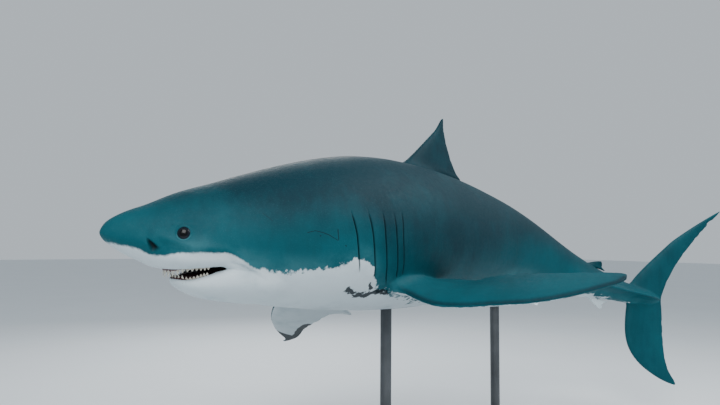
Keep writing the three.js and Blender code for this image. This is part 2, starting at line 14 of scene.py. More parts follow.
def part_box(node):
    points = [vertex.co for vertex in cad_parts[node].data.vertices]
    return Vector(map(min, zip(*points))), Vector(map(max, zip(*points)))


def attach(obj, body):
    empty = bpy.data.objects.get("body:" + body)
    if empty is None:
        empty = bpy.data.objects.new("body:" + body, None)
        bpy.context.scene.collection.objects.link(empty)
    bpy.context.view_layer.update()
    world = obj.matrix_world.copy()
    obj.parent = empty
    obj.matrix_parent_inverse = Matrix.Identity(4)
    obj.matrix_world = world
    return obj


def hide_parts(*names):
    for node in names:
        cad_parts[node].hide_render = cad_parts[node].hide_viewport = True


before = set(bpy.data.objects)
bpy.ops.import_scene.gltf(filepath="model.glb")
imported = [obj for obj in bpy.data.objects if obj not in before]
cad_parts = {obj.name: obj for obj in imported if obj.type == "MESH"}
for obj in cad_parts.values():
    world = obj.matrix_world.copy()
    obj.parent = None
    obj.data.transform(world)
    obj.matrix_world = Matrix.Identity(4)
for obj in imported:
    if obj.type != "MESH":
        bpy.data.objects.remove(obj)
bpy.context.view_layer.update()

LOG = logging.getLogger("shark")

TOTAL_LENGTH = 4.5
PER_CENT = TOTAL_LENGTH / 100
SNOUT = np.array([-1.64, -0.17, 1.25])
TWO_PI = 2 * math.pi


class Part(Enum):
    """The forms that the skin is joined from, as material numbers on its faces while it is built."""

    BODY = 0
    JAW = 1
    MOUTH = 2
    PECTORAL_LEFT = 3
    PECTORAL_RIGHT = 4
    PELVIC = 5
    MEDIAN_FIN = 6
    CAUDAL_FIN = 7


class Side(Enum):
    """The shark's own sides; the value is the sign of a left-hand offset."""

    LEFT = 1
    RIGHT = -1


@dataclass(frozen=True)
class Line:
    """A monotone cubic through (station, value) knots, flat beyond both ends."""

    knots: tuple[tuple[float, float], ...]

    def __call__(self, stations: np.ndarray | float) -> np.ndarray:
        """Reads the line.

        Args:
            stations: Where to read it.

        Returns:
            The line's value at each station.
        """
        x, y = np.array(self.knots, float).T
        slope = np.diff(y) / np.diff(x)
        tangent = np.concatenate([[slope[0]], np.zeros(len(x) - 2), [slope[-1]]])
        before, after = slope[:-1], slope[1:]
        same = before * after > 0
        tangent[1:-1][same] = 2 / (1 / before[same] + 1 / after[same])
        s = np.clip(np.asarray(stations, float), x[0], x[-1])
        i = np.clip(np.searchsorted(x, s, side="right") - 1, 0, len(x) - 2)
        width = x[i + 1] - x[i]
        t = (s - x[i]) / width
        rise = t * t * (3 - 2 * t)
        ease = width * t * (1 - t)
        return y[i] * (1 - rise) + y[i + 1] * rise + ease * (tangent[i] * (1 - t) - tangent[i + 1] * t)


def line(*knots: tuple[float, float]) -> Line:
    """Makes a Line from its knots."""
    return Line(tuple(knots))


def smoothstep(values: np.ndarray, low: float, high: float) -> np.ndarray:
    """Rises smoothly from 0 at low to 1 at high.

    Args:
        values: What to read.
        low: The value that gives 0.
        high: The value that gives 1.

    Returns:
        A number from 0 to 1 for each value.
    """
    t = np.clip((values - low) / (high - low), 0, 1)
    return t * t * (3 - 2 * t)


@dataclass
class Spine:
    """The swimming bend: stations in per cent of total length, turned into places in metres."""

    yaw: Line = line((0, 0), (13, 0), (30, 0.275), (46, 0.205), (64, -0.157), (82, -0.506), (92, -0.53))
    dip: Line = line((0, 0), (20, 0), (50, 0.06), (66, 0.34), (78, 0.27), (90, 0.06))
    roll: Line = line((0, 0), (66, 0), (86, -0.2))
    step: float = 0.25
    end: float = 102.0
    stations: np.ndarray = field(init=False)
    points: np.ndarray = field(init=False)

    def __post_init__(self) -> None:
        """Adds up the bend from the snout."""
        self.stations = np.arange(0, self.end + self.step, self.step)
        back = self.axes(self.stations[:-1] + self.step / 2)[0]
        self.points = np.vstack([np.zeros(3), np.cumsum(back * self.step, axis=0)])

    def axes(self, s: np.ndarray) -> tuple[np.ndarray, np.ndarray, np.ndarray]:
        """Gives the body's own directions.

        Args:
            s: Stations.

        Returns:
            Unit vectors to the tail, to the shark's left and up, one row for each station.
        """
        yaw, dip, roll = (f(s)[..., None] for f in (self.yaw, self.dip, self.roll))
        level_x = np.concatenate([np.cos(yaw), np.sin(yaw), np.zeros_like(yaw)], axis=-1)
        back = level_x * np.cos(dip) + np.array([0, 0, -1.0]) * np.sin(dip)
        level = np.concatenate([np.sin(yaw), -np.cos(yaw), np.zeros_like(yaw)], axis=-1)
        upright = np.cross(level, back)
        left = level * np.cos(roll) - upright * np.sin(roll)
        up = upright * np.cos(roll) + level * np.sin(roll)
        return back, left, up

    def point(self, s: np.ndarray) -> np.ndarray:
        """Places stations on the spine itself, in per cent from the snout."""
        return np.stack([np.interp(s, self.stations, self.points[:, k]) for k in range(3)], axis=-1)

    def place(self, s: np.ndarray, left: np.ndarray, up: np.ndarray) -> np.ndarray:
        """Turns body coordinates into places.

        Args:
            s: Stations.
            left: Offsets to the shark's left, in per cent.
            up: Offsets up from the spine, in per cent.

        Returns:
            Places in metres, one row each.
        """
        s, left, up = np.broadcast_arrays(*(np.asarray(v, float) for v in (s, left, up)))
        _, to_left, to_up = self.axes(s)
        return (self.point(s) + to_left * left[..., None] + to_up * up[..., None]) * PER_CENT + SNOUT

    def unplace(self, places: np.ndarray) -> np.ndarray:
        """Turns places back into body coordinates, as if the shark were straight.

        Args:
            places: Rows of places in metres.

        Returns:
            Rows of station, left and up, in per cent.
        """
        target = (places - SNOUT) / PER_CENT
        s = np.empty(len(target))
        for start in range(0, len(target), 8000):
            block = target[start:start + 8000]
            gap = ((block[:, None, :] - self.points[None, ::4, :]) ** 2).sum(-1)
            s[start:start + 8000] = self.stations[::4][gap.argmin(1)]
        for _ in range(6):
            back, _, _ = self.axes(s)
            s = np.clip(s + 0.8 * ((target - self.point(s)) * back).sum(-1), 0, self.end)
        _, to_left, to_up = self.axes(s)
        offset = target - self.point(s)
        return np.stack([s, (offset * to_left).sum(-1), (offset * to_up).sum(-1)], axis=-1)


SPINE = Spine()


@dataclass
class BodyLines:
    """The lines that the head, trunk and tail stock are drawn on, in per cent of total length."""

    end: float = 87.2
    back: Line = line(
        (0, 0), (0.5, 0.85), (1.1, 1.35), (2.2, 1.95), (3.7, 2.55), (6.6, 3.85), (9.5, 4.8), (13.5, 6.15),
        (18, 7.5), (22, 8.45), (26, 9.05), (31, 9.3), (36, 9.2), (42, 8.8), (48, 8.1), (54, 7.1), (60, 5.9),
        (66, 4.65), (72, 3.35), (78, 2.15), (82, 1.6), (85, 1.3), (87.2, 0.4))
    belly: Line = line(
        (0, 0), (0.4, -0.62), (0.9, -1.05), (2.1, -1.88), (3.4, -2.5), (5, -3.15), (7, -3.3), (9.4, -3.25),
        (10.8, -4.4), (12.2, -6.1), (14.4, -6.85), (18, -7.35), (22, -7.8), (28, -8.3), (35, -8.5),
        (42, -8.2), (48, -7.6), (54, -6.7), (60, -5.4), (66, -4.15), (72, -2.95), (78, -1.85),
        (82, -1.4), (85, -1.2), (87.2, -0.4))
    half_width: Line = line(
        (0, 0), (0.4, 0.72), (1, 1.25), (2, 1.95), (4, 3.15), (6, 4.1), (8, 4.95), (10, 5.65), (14, 6.85),
        (18, 7.8), (22, 8.35), (27, 8.75), (33, 8.9), (40, 8.45), (46, 7.6), (52, 6.5), (58, 5.3), (64, 4.1),
        (70, 3), (76, 2.1), (81, 1.55), (85, 0.95), (87.2, 0.15))
    widest: Line = line((0, 0), (3, -0.6), (6, -1.1), (9, -1.2), (12, -0.9), (20, -0.3), (40, 0.1), (60, 0))
    upper_fullness: Line = line((0, 2), (6, 1.9), (14, 1.95), (30, 2.05), (60, 2.1))
    lower_fullness: Line = line((0, 2), (3, 2.2), (5, 2.9), (9.5, 3.3), (12, 2.4), (16, 2.15), (60, 2))
    keel: Line = line((68, 0), (74, 0.6), (80, 1.35), (84, 1.1), (87.2, 0.05))

    def section(self, s: np.ndarray, angle: np.ndarray) -> tuple[np.ndarray, np.ndarray]:
        """Draws the body's cross-sections.

        Args:
            s: Stations.
            angle: Angles round the body from the top of the back, over the shark's left.

        Returns:
            Offsets to the left and up from the spine.
        """
        upper = np.cos(angle) >= 0
        power = 2 / np.where(upper, self.upper_fullness(s), self.lower_fullness(s))
        sine, cosine = np.sin(angle), np.abs(np.cos(angle))
        side = np.sign(sine) * np.abs(sine) ** power
        keel = np.sign(sine) * self.keel(s) * np.abs(sine) ** 24
        middle = self.widest(s)
        height = np.where(upper, self.back(s), self.belly(s)) - middle
        return side * self.half_width(s) + keel, middle + cosine ** power * height

    def skin_place(self, s: float, up: float, side: Side) -> np.ndarray:
        """Finds the place on the flank at a station and a height.

        Args:
            s: The station.
            up: Height over the spine, in per cent.
            side: Which flank.

        Returns:
            The place in metres.
        """
        middle = float(self.widest(s))
        high = up >= middle
        height = float(self.back(s)) - middle if high else middle - float(self.belly(s))
        fullness = float((self.upper_fullness if high else self.lower_fullness)(s))
        rise = min(abs(up - middle) / height, 1.0)
        left = side.value * float(self.half_width(s)) * (1 - rise ** fullness) ** (1 / fullness)
        return SPINE.place(s, left, up)

    def palate(self, s: np.ndarray, left: np.ndarray) -> np.ndarray:
        """Gives the height of the roof of the mouth at a station and so far to the left."""
        middle, fullness = self.widest(s), self.lower_fullness(s)
        reach = np.minimum(np.abs(left) / self.half_width(s), 1)
        return middle + (self.belly(s) - middle) * (1 - reach ** fullness) ** (1 / fullness)


@dataclass
class JawLines:
    """The lower jaw's lines, in per cent of total length."""

    front: float = 6.1
    rear: float = 16.0
    half_width: Line = line(
        (6.1, 0), (6.25, 0.85), (6.6, 1.75), (7.3, 2.95), (8.1, 3.9), (9, 4.6), (10.2, 5.3), (12, 5.85),
        (14, 6.1),
        (16, 5.9))
    top: Line = line((6.1, -4.1), (7, -4.1), (8.3, -3.65), (9.2, -3.3), (10.2, -2.85), (12, -2.6), (16, -2.6))
    bottom: Line = line(
        (6.1, -4.1), (6.22, -4.45), (6.6, -4.88), (7.5, -5.45), (8.8, -6), (10.8, -6.4), (14, -6.75),
        (16, -6.6))
    shoulder: float = 0.3
    top_power: float = 0.62
    bottom_power: float = 0.95

    def section(self, s: np.ndarray, angle: np.ndarray) -> tuple[np.ndarray, np.ndarray]:
        """Draws the jaw's cross-sections; see BodyLines.section."""
        top, bottom = self.top(s), self.bottom(s)
        upper = np.cos(angle) >= 0
        middle = top + (bottom - top) * self.shoulder
        power = np.where(upper, self.top_power, self.bottom_power)
        sine = np.sin(angle)
        side = np.sign(sine) * np.abs(sine) ** power
        return side * self.half_width(s), middle + np.abs(np.cos(angle)) ** power * (
            np.where(upper, top, bottom) - middle)


@dataclass
class MouthLines:
    """One of the two hollows that make the mouth, in per cent of total length."""

    front: float
    rear: float
    half_width: Line
    top: Line
    bottom: Line

    def section(self, s: np.ndarray, angle: np.ndarray) -> tuple[np.ndarray, np.ndarray]:
        """Draws the hollow's cross-sections; see BodyLines.section."""
        top, bottom = self.top(s), self.bottom(s)
        middle = (top + bottom) / 2
        return np.sin(angle) * self.half_width(s), middle + np.cos(angle) * (top - bottom) / 2


BODY = BodyLines()
JAW = JawLines()
PALATE_HOLLOW = MouthLines(
    front=5.8, rear=13.0,
    half_width=line(
        (5.8, 0), (5.95, 1.1), (6.5, 2.2), (7.2, 2.95), (8, 3.45), (9, 4), (10.2, 4.4), (13, 3.4)),
    top=line((5.8, -3.3), (6.3, -2.85), (7.2, -2.45), (9, -2), (11, -2.2), (13, -3.2)),
    bottom=line((5.8, -3.75), (7.2, -3.9), (9, -3.9), (11, -3.9), (13, -3.8)))
TONGUE = MouthLines(
    front=6.7, rear=12.6,
    half_width=line((6.7, 0), (6.85, 0.8), (7.3, 1.65), (8.2, 2.45), (9.5, 2.95), (11, 3.1), (12.6, 2.9)),
    top=line((6.7, -4.1), (7, -3.78), (7.8, -3.6), (9.5, -3.42), (12.6, -3.4)),
    bottom=line((6.7, -4.3), (7.3, -4.8), (9, -5.1), (12.6, -4.6)))
JAW_HOLLOW = MouthLines(
    front=6.55, rear=12.8,
    half_width=line(
        (6.55, 0), (6.7, 0.85), (7.1, 1.8), (7.8, 2.85), (8.6, 3.6), (9.4, 4.1), (10.2, 4.4), (12.8, 3.3)),
    top=line((6.55, -3.8), (7.2, -3.2), (9, -2.9), (11, -3), (12.8, -3.5)),
    bottom=line((6.55, -4.35), (7.2, -4.85), (9, -5), (11, -4.6), (12.8, -4)))


def spaced(start: float, stop: float, spacing: Line) -> np.ndarray:
    """Steps along a stretch, closer together where spacing is small.

    Args:
        start: The first station.
        stop: The last station.
        spacing: Step length against station.

    Returns:
        The stations.
    """
    stops = [start]
    while stops[-1] + float(spacing(stops[-1])) < stop:
        stops.append(stops[-1] + float(spacing(stops[-1])))
    return np.array(stops + [stop])


def eased(start: float, stop: float, count: int, ease: float) -> np.ndarray:
    """Makes count + 1 steps that crowd towards the stop as ease grows over 1."""
    return start + (stop - start) * (1 - (1 - np.linspace(0, 1, count + 1)) ** ease)


def shaped_ball(
    name: str, segments: int, levels: np.ndarray,
    shape: Callable[[np.ndarray, np.ndarray, np.ndarray], np.ndarray],
    part: Part,
) -> bpy.types.Object:
    """Adds a ball and draws each of its rings out to a section of a form.

    Args:
        name: The new object's name.
        segments: Points round each ring.
        levels: One level for each ring, with the two poles first and last.
        shape: Takes each point's level, its angle and whether it is a pole, and gives its place in metres.
        part: Which form the faces belong to.

    Returns:
        The closed mesh object, at the origin, with faces outward.
    """
    rings = len(levels) - 1
    bpy.ops.object.select_all(action="DESELECT")
    bpy.ops.mesh.primitive_uv_sphere_add(segments=segments, ring_count=rings, radius=1)
    piece = bpy.context.object
    piece.name = piece.data.name = name
    ball = np.empty(len(piece.data.vertices) * 3)
    piece.data.vertices.foreach_get("co", ball)
    ball = ball.reshape(-1, 3)
    ring = np.rint(np.arccos(np.clip(ball[:, 2], -1, 1)) / math.pi * rings).astype(int)
    angle = np.arctan2(ball[:, 1], ball[:, 0])
    pole = (ring == 0) | (ring == rings)
    piece.data.vertices.foreach_set("co", shape(levels[ring], angle, pole).ravel())
    bpy.ops.object.mode_set(mode="EDIT")
    bpy.ops.mesh.select_all(action="SELECT")
    bpy.ops.mesh.normals_make_consistent(inside=False)
    bpy.ops.object.mode_set(mode="OBJECT")
    for _ in Part:
        piece.data.materials.append(None)
    piece.data.polygons.foreach_set("material_index", np.full(len(piece.data.polygons), part.value))
    return piece


def spine_form(
    name: str, segments: int, stations: np.ndarray,
    section: Callable[[np.ndarray, np.ndarray], tuple[np.ndarray, np.ndarray]], part: Part,
) -> bpy.types.Object:
    """Draws a form out along the spine.

    Args:
        name: The new object's name.
        segments: Points round each section.
        stations: The stations, ends included.
        section: Gives the offsets to the left and up for stations and angles.
        part: Which form the faces belong to.

    Returns:
        The closed mesh object.
    """

    def shape(s: np.ndarray, angle: np.ndarray, pole: np.ndarray) -> np.ndarray:
        """Places each point of the ball on its section."""
        left, up = section(s, angle)
        top = section(s, np.zeros_like(s))[1]
        bottom = section(s, np.full_like(s, math.pi))[1]
        return SPINE.place(s, np.where(pole, 0, left), np.where(pole, (top + bottom) / 2, up))

    return shaped_ball(name, segments, stations, shape, part)


def combine(target: bpy.types.Object, other: bpy.types.Object, operation: str) -> None:
    """Joins or cuts one closed mesh with another, which is used up.

    Args:
        target: The mesh that is kept.
        other: The mesh that is joined to it or cut from it.
        operation: UNION or DIFFERENCE.
    """
    bpy.ops.object.select_all(action="DESELECT")
    bpy.context.view_layer.objects.active = target
    target.select_set(True)
    cutter = target.modifiers.new("combine", "BOOLEAN")
    cutter.operation = operation
    cutter.object = other
    cutter.solver = "EXACT"
    bpy.ops.object.modifier_apply(modifier=cutter.name)
    bpy.data.objects.remove(other, do_unlink=True)


def join(pieces: Sequence[bpy.types.Object], name: str) -> bpy.types.Object:
    """Joins meshes that don't touch into one object, without cutting them."""
    bpy.ops.object.select_all(action="DESELECT")
    for piece in pieces:
        piece.select_set(True)
    bpy.context.view_layer.objects.active = pieces[0]
    bpy.ops.object.join()
    pieces[0].name = pieces[0].data.name = name
    return pieces[0]


@dataclass
class Fin:
    """A fin: foil sections over its span, in per cent of total length."""

    name: str
    part: Part
    levels: np.ndarray
    leading: Callable[[np.ndarray], np.ndarray]
    trailing: Callable[[np.ndarray], np.ndarray]
    thickness: Callable[[np.ndarray], np.ndarray]
    place: Callable[[np.ndarray, np.ndarray, np.ndarray], np.ndarray]
    flare: float = 0.9
    flare_span: float = 0.55
    segments: int = 56
    edge: float = 0.07
    round_start: float = 0.0
    round_end: float = 0.6

    def rounding(self, u: np.ndarray) -> np.ndarray:
        """Tells how the chord narrows in a half circle towards each tip, from 1 down to 0."""
        share = np.zeros_like(u)
        for length, past in ((self.round_start, self.levels[0] - u), (self.round_end, u - self.levels[-1])):
            if length > 0:
                share = np.maximum(share, np.clip(1 + past / length, 0, 1))
        return np.sqrt(1 - share ** 2)

    def outline(self, u: np.ndarray, rear: bool) -> np.ndarray:
        """Gives the places of one edge, tips rounded."""
        front, back = self.leading(u), self.trailing(u)
        half = (back - front) / 2 * self.rounding(u)
        return self.place(u, (front + back) / 2 + (half if rear else -half), np.zeros_like(u))

    def build(self) -> bpy.types.Object:
        """Makes the fin, its root flared so that it runs smoothly into the flank."""

        def shape(u: np.ndarray, angle: np.ndarray, pole: np.ndarray) -> np.ndarray:
            """Places each point of the ball on its foil."""
            x = np.where(pole, 0.5, (1 + np.cos(angle)) / 2)
            foil = 2.97 * np.sqrt(x) - 1.26 * x - 3.52 * x ** 2 + 2.84 * x ** 3 - 1.03 * x ** 4
            swell = self.flare * np.exp(-np.maximum(u, 0) / self.flare_span)
            half = ((self.thickness(u) + swell) * foil + self.edge) / 2
            front, rear = self.leading(u) - 0.5 * swell, self.trailing(u)
            side = np.where(pole, 0, np.sign(np.sin(angle)) * half)
            side = np.where(np.abs(np.sin(angle)) < 1e-6, 0, side)
            middle = front + 0.5 * (rear - front)
            return self.place(u, middle + (x - 0.5) * (rear - front) * self.rounding(u), side)

        return shaped_ball(self.name, self.segments, self.levels, shape, self.part)


def worn(u: np.ndarray, depth: float) -> np.ndarray:
    """Small nicks along a trailing edge, the same each run.

    Args:
        u: Places along the edge.
        depth: The deepest nick.

    Returns:
        How far the edge stands back, from 0 to depth.
    """
    wave = np.sin(u * 5.1) * np.sin(u * 8.7 + 1.3) + 0.6 * np.sin(u * 17.3 + 0.4) * np.sin(u * 3.1)
    return depth * np.clip(wave, 0, 1) ** 1.5


@dataclass
class PectoralFins:
    """The pair of long side fins, the left held nearly level and the right one drooping."""

    station: float = 25.5
    left: float = 7.25
    up: float = -5.15
    span: float = 19.2
    root: float = 6.5
    chord: float = 10.15
    sweep: float = 9.47
    curved: float = 0.84
    power: float = 2.41
    blunt: float = 0.35
    inside: float = -3.0
    waist: dict[Side, float] = field(default_factory=lambda: {Side.LEFT: 0.12, Side.RIGHT: 0.08})
    reach: dict[Side, float] = field(default_factory=lambda: {Side.LEFT: 1.033, Side.RIGHT: 0.88})
    drop: dict[Side, Line] = field(default_factory=lambda: {
        Side.LEFT: line((0, 0), (0.25, -1.76), (0.5, -2.3), (0.75, -3.24), (1, -3.84)),
        Side.RIGHT: line((0, 0), (0.25, -1.12), (0.5, -3.2), (0.75, -4.97), (1, -7.24))})
    twist: dict[Side, Line] = field(default_factory=lambda: {
        Side.LEFT: line((0, 0.036), (0.4, 0.419), (0.75, 0.581), (1, 0.583)),
        Side.RIGHT: line((0, -0.494), (1, -0.302))})
    shear: dict[Side, float] = field(default_factory=lambda: {Side.LEFT: 0.0, Side.RIGHT: 0.05})
    taper: dict[Side, float] = field(default_factory=lambda: {Side.LEFT: 0.64, Side.RIGHT: 0.46})
    curl: dict[Side, float] = field(default_factory=lambda: {Side.LEFT: 0.0, Side.RIGHT: 1.1})

    def root_frame(self, side: Side) -> tuple[np.ndarray, np.ndarray, np.ndarray, np.ndarray]:
        """Gives the root point, in per cent, and the directions out, back and up."""
        back, left, up = SPINE.axes(np.array(self.station + 1.5))
        out = left * side.value
        return SPINE.point(np.array(self.station)) + out * self.left + up * self.up, out, back, up

    def span_share(self, places: np.ndarray, side: Side) -> np.ndarray:
        """Measures how far out along the fin each place lies, from 0 at the root to 1 at the tip."""
        root, out, _, _ = self.root_frame(side)
        return (((places - SNOUT) / PER_CENT - root) @ out) / (self.span * self.reach[side])

    def fin(self, side: Side) -> Fin:
        """Makes one fin's form.

        Args:
            side: Which fin.

        Returns:
            The fin, ready to build.
        """
        root, out, back, up = self.root_frame(side)
        drop, twist = self.drop[side], self.twist[side]

        def share(u: np.ndarray) -> np.ndarray:
            """Share of the span, 0 inside the body."""
            return np.maximum(u, 0) / self.span

        def place(u: np.ndarray, v: np.ndarray, w: np.ndarray) -> np.ndarray:
            """Places a point of the fin."""
            t = share(u)
            slope_in = float(drop(0.03)) / 0.03 / self.span
            fall = np.where(u < 0, slope_in * u, drop(t))
            droop = np.arctan((drop(t - 0.03) - drop(t + 0.03)) / 0.06 / self.span)[:, None]
            turn = twist(t)[:, None]
            normal = out * np.sin(droop) + up * np.cos(droop)
            chordwise = back * np.cos(turn) + normal * np.sin(turn)
            face = normal * np.cos(turn) - back * np.sin(turn)
            base = root + out * (u * self.reach[side])[:, None] + up * fall[:, None]
            base = base + back * (np.maximum(u, 0) * math.tan(self.shear[side]))[:, None]
            return (base + chordwise * v[:, None] + face * w[:, None]) * PER_CENT + SNOUT

        def curl(t: np.ndarray) -> np.ndarray:
            """How far the very tip turns back."""
            return self.curl[side] * t ** 10

        def leading(u: np.ndarray) -> np.ndarray:
            """The leading edge, swept back in a curve."""
            t = share(u)
            swept = (1 - self.curved) * t + self.curved * t ** self.power
            return self.sweep * swept + curl(t) - 0.12 * np.minimum(u, 0)

        free_tip = line((-3, self.root - 1), (-0.4, self.root), (0.3, self.root + 0.9), (1.1, self.chord))

        def trailing(u: np.ndarray) -> np.ndarray:
            """The trailing edge, with its free inner tip and small nicks."""
            t = share(u)
            narrowed = np.maximum(1 - t, 0) ** self.taper[side] * (1 - self.waist[side] * np.sin(math.pi * t))
            width = self.chord * narrowed + self.blunt - curl(t) / 3
            nicks = worn(u + 3 * side.value, 0.14) * smoothstep(u, 1.5, 3) * smoothstep(-t, -0.97, -0.85)
            return leading(u) + np.where(u < 1.1, free_tip(u), width) - nicks

        levels = np.concatenate([
            np.linspace(self.inside, -0.2, 4), np.linspace(0, 2.2, 12)[:-1], eased(2.2, self.span, 58, 1.45)])
        return Fin(
            name=f"pectoral_{side.name.lower()}", levels=levels, leading=leading, trailing=trailing,
            place=place, part=Part.PECTORAL_LEFT if side is Side.LEFT else Part.PECTORAL_RIGHT,
            thickness=lambda u: 1.35 * (1 - share(u)) ** 0.8 + 0.1, flare=1.1,
            round_end=0.3 if side is Side.LEFT else 3.2)


@dataclass
class MedianFins:
    """The fins on the mid-line: first and second dorsal and anal."""

    height: float = 8.2
    front: Line = line((0, 35.9), (2.8, 39.1), (4.6, 41), (6.3, 42.7), (7.5, 43.5), (8.2, 43.9))
    rear: Line = line(
        (-1.6, 45.2), (0.1, 46.1), (0.7, 48.3), (1.3, 47.4), (2.65, 46.25), (3.6, 45.65), (4.8, 45),
        (6.25, 44.45), (7.5, 44.2), (8.2, 44.25))

    def first_dorsal(self) -> Fin:
        """Makes the tall fin on the back."""

        def share(u: np.ndarray) -> np.ndarray:
            """Share of the height."""
            return np.maximum(u, 0) / self.height

        def leading(u: np.ndarray) -> np.ndarray:
            """The leading edge, running out low along the back at its foot."""
            foot = np.where(u > 0, 0.25 * np.maximum(0, 1 - u) ** 2, 0)
            return self.front(u) - foot

        def trailing(u: np.ndarray) -> np.ndarray:
            """The trailing edge with its free rear tip and small nicks."""
            return self.rear(u) - worn(u, 0.12) * smoothstep(u, 1.5, 2.5) * smoothstep(-u, -7.9, -7.1)

        levels = np.concatenate([
            [-1.6, -0.8, -0.3], np.linspace(0, 1.6, 11)[:-1], eased(1.6, self.height, 34, 1.4)])
        return Fin(
            name="dorsal", part=Part.MEDIAN_FIN, levels=levels, leading=leading, trailing=trailing, flare=0.9,
            thickness=lambda u: 1.25 * (1 - share(u)) ** 0.8 + 0.14,
            place=lambda u, v, w: SPINE.place(v, w, BODY.back(v) + u))

    def small(self, name: str, station: float, base: float, height: float, reach: float, up: int) -> Fin:
        """Makes a small fin.

        Args:
            name: Its name.
            station: Where its leading edge meets the body.
            base: Its length along the body.
            height: How far it stands out.
            reach: How far back its free tip reaches from the station.
            up: 1 on the back, -1 under the tail stock.

        Returns:
            The fin, ready to build.
        """
        surface = BODY.back if up > 0 else BODY.belly
        rear = line(
            (-0.5, station + base - 0.2), (0.1, station + base), (0.35, station + reach),
            (0.7, station + reach - 0.7), (height, station + base + 1.1))
        return Fin(
            name=name, part=Part.MEDIAN_FIN, flare=0.35, flare_span=0.25, segments=32,
            levels=np.concatenate([[-0.5, -0.2], np.linspace(0, 0.7, 8)[:-1], eased(0.7, height, 8, 1.3)]),
            leading=lambda u: station + (base + 0.5) * (np.maximum(u, 0) / height) ** 1.1, trailing=rear,
            thickness=lambda u: 0.4 * (1 - np.maximum(u, 0) / height) + 0.08,
            place=lambda u, v, w: SPINE.place(v, w * up, surface(v) + up * u))

    def fins(self) -> list[Fin]:
        """Gives the three fins."""
        return [
            self.first_dorsal(),
            self.small("second_dorsal", 74, 1.6, 1.5, 3.4, 1),
            self.small("anal", 75.5, 1.5, 1.6, 3.2, -1)]


@dataclass
class PelvicFins:
    """The pair of short fins under the rear of the trunk."""

    station: float = 53.0
    left: float = 4.2
    up: float = -4.6
    span: float = 4.6
    droop: float = 0.75
    rear: Line = line((-1.5, 4), (0, 4.6), (0.5, 7.3), (1.1, 6.9), (2.2, 5.9), (3.5, 5.3), (4.6, 4.6))

    def fin(self, side: Side) -> Fin:
        """Makes one fin's form."""
        back, left, up = SPINE.axes(np.array(self.station + 2))
        cosine, sine = math.cos(self.droop), math.sin(self.droop)
        out = left * side.value * cosine - up * sine
        normal = left * side.value * sine + up * cosine
        root = SPINE.point(np.array(self.station)) + left * side.value * self.left + up * self.up

        def share(u: np.ndarray) -> np.ndarray:
            """Share of the span."""
            return np.maximum(u, 0) / self.span

        def place(u: np.ndarray, v: np.ndarray, w: np.ndarray) -> np.ndarray:
            """Places a point of the fin."""
            return (root + out * u[:, None] + back * v[:, None] + normal * w[:, None]) * PER_CENT + SNOUT

        return Fin(
            name=f"pelvic_{side.name.lower()}", part=Part.PELVIC, segments=40, flare=0.5, flare_span=0.35,
            levels=np.concatenate([
                [-1.5, -0.7, -0.2], np.linspace(0, 1.1, 9)[:-1], eased(1.1, self.span, 18, 1.3)]),
            leading=lambda u: 3.6 * share(u) ** 1.1, trailing=self.rear,
            thickness=lambda u: 0.6 * (1 - share(u)) + 0.1, place=place)


@dataclass(frozen=True)
class Lobe:
    """One lobe of the tail fin, in per cent of total length."""

    up: int
    height: float
    front: float
    tip: float
    lead_power: float
    trail_power: float
    blunt: float


@dataclass
class TailFin:
    """The crescent tail fin: a tall upper lobe and a shorter, stronger curved lower one."""

    fork: float = 87.4
    notch: float = 0.35
    notch_share: float = 0.86
    root_thickness: float = 1.05
    tip_thickness: float = 0.12
    lobes: tuple[Lobe, Lobe] = (
        Lobe(up=1, height=15.6, front=81.4, tip=98.8, lead_power=1.5, trail_power=1.4, blunt=0.25),
        Lobe(up=-1, height=13, front=81.8, tip=88.2, lead_power=4.4, trail_power=6, blunt=1))

    def fin(self) -> Fin:
        """Makes both lobes as one fin, from the lower tip to the upper."""
        upper, lower = self.lobes

        def both(z: np.ndarray, read: Callable[[Lobe, np.ndarray], np.ndarray]) -> np.ndarray:
            """Reads one edge of both lobes, given each one's share of its height."""
            lines = [read(lobe, np.abs(z) / lobe.height) for lobe in self.lobes]
            return np.where(z >= 0, lines[0], lines[1])

        def leading(z: np.ndarray) -> np.ndarray:
            """The leading edges."""
            return both(z, lambda lobe, t: lobe.front + (lobe.tip - lobe.front) * t ** lobe.lead_power)

        def trailing(z: np.ndarray) -> np.ndarray:
            """The trailing edges, with the small notch under the upper tip."""
            notch = self.notch * np.exp(-((z - self.notch_share * upper.height) / self.notch) ** 2)
            middle = smoothstep(np.abs(z), 1.5, 3)
            rear = both(
                z, lambda lobe, t: self.fork + (lobe.tip + lobe.blunt - self.fork) * t ** lobe.trail_power)
            return rear - notch - worn(z, 0.12) * middle * np.where(z > 0, 1, 0.5)

        def thickness(z: np.ndarray) -> np.ndarray:
            """Thick at the root and thin to the tips."""
            share = np.where(z >= 0, z / upper.height, -z / lower.height)
            return self.root_thickness * (1 - np.clip(share, 0, 1)) ** 0.7 + self.tip_thickness

        levels = np.concatenate([
            -eased(1.2, lower.height, 40, 1.35)[::-1], np.linspace(-1.2, 1.2, 9)[1:-1],
            eased(1.2, upper.height, 46, 1.35)])
        return Fin(
            name="caudal", part=Part.CAUDAL_FIN, levels=levels, leading=leading, trailing=trailing, flare=0.0,
            thickness=thickness, place=lambda u, v, w: SPINE.place(v, w, u), round_start=0.8, round_end=0.6)


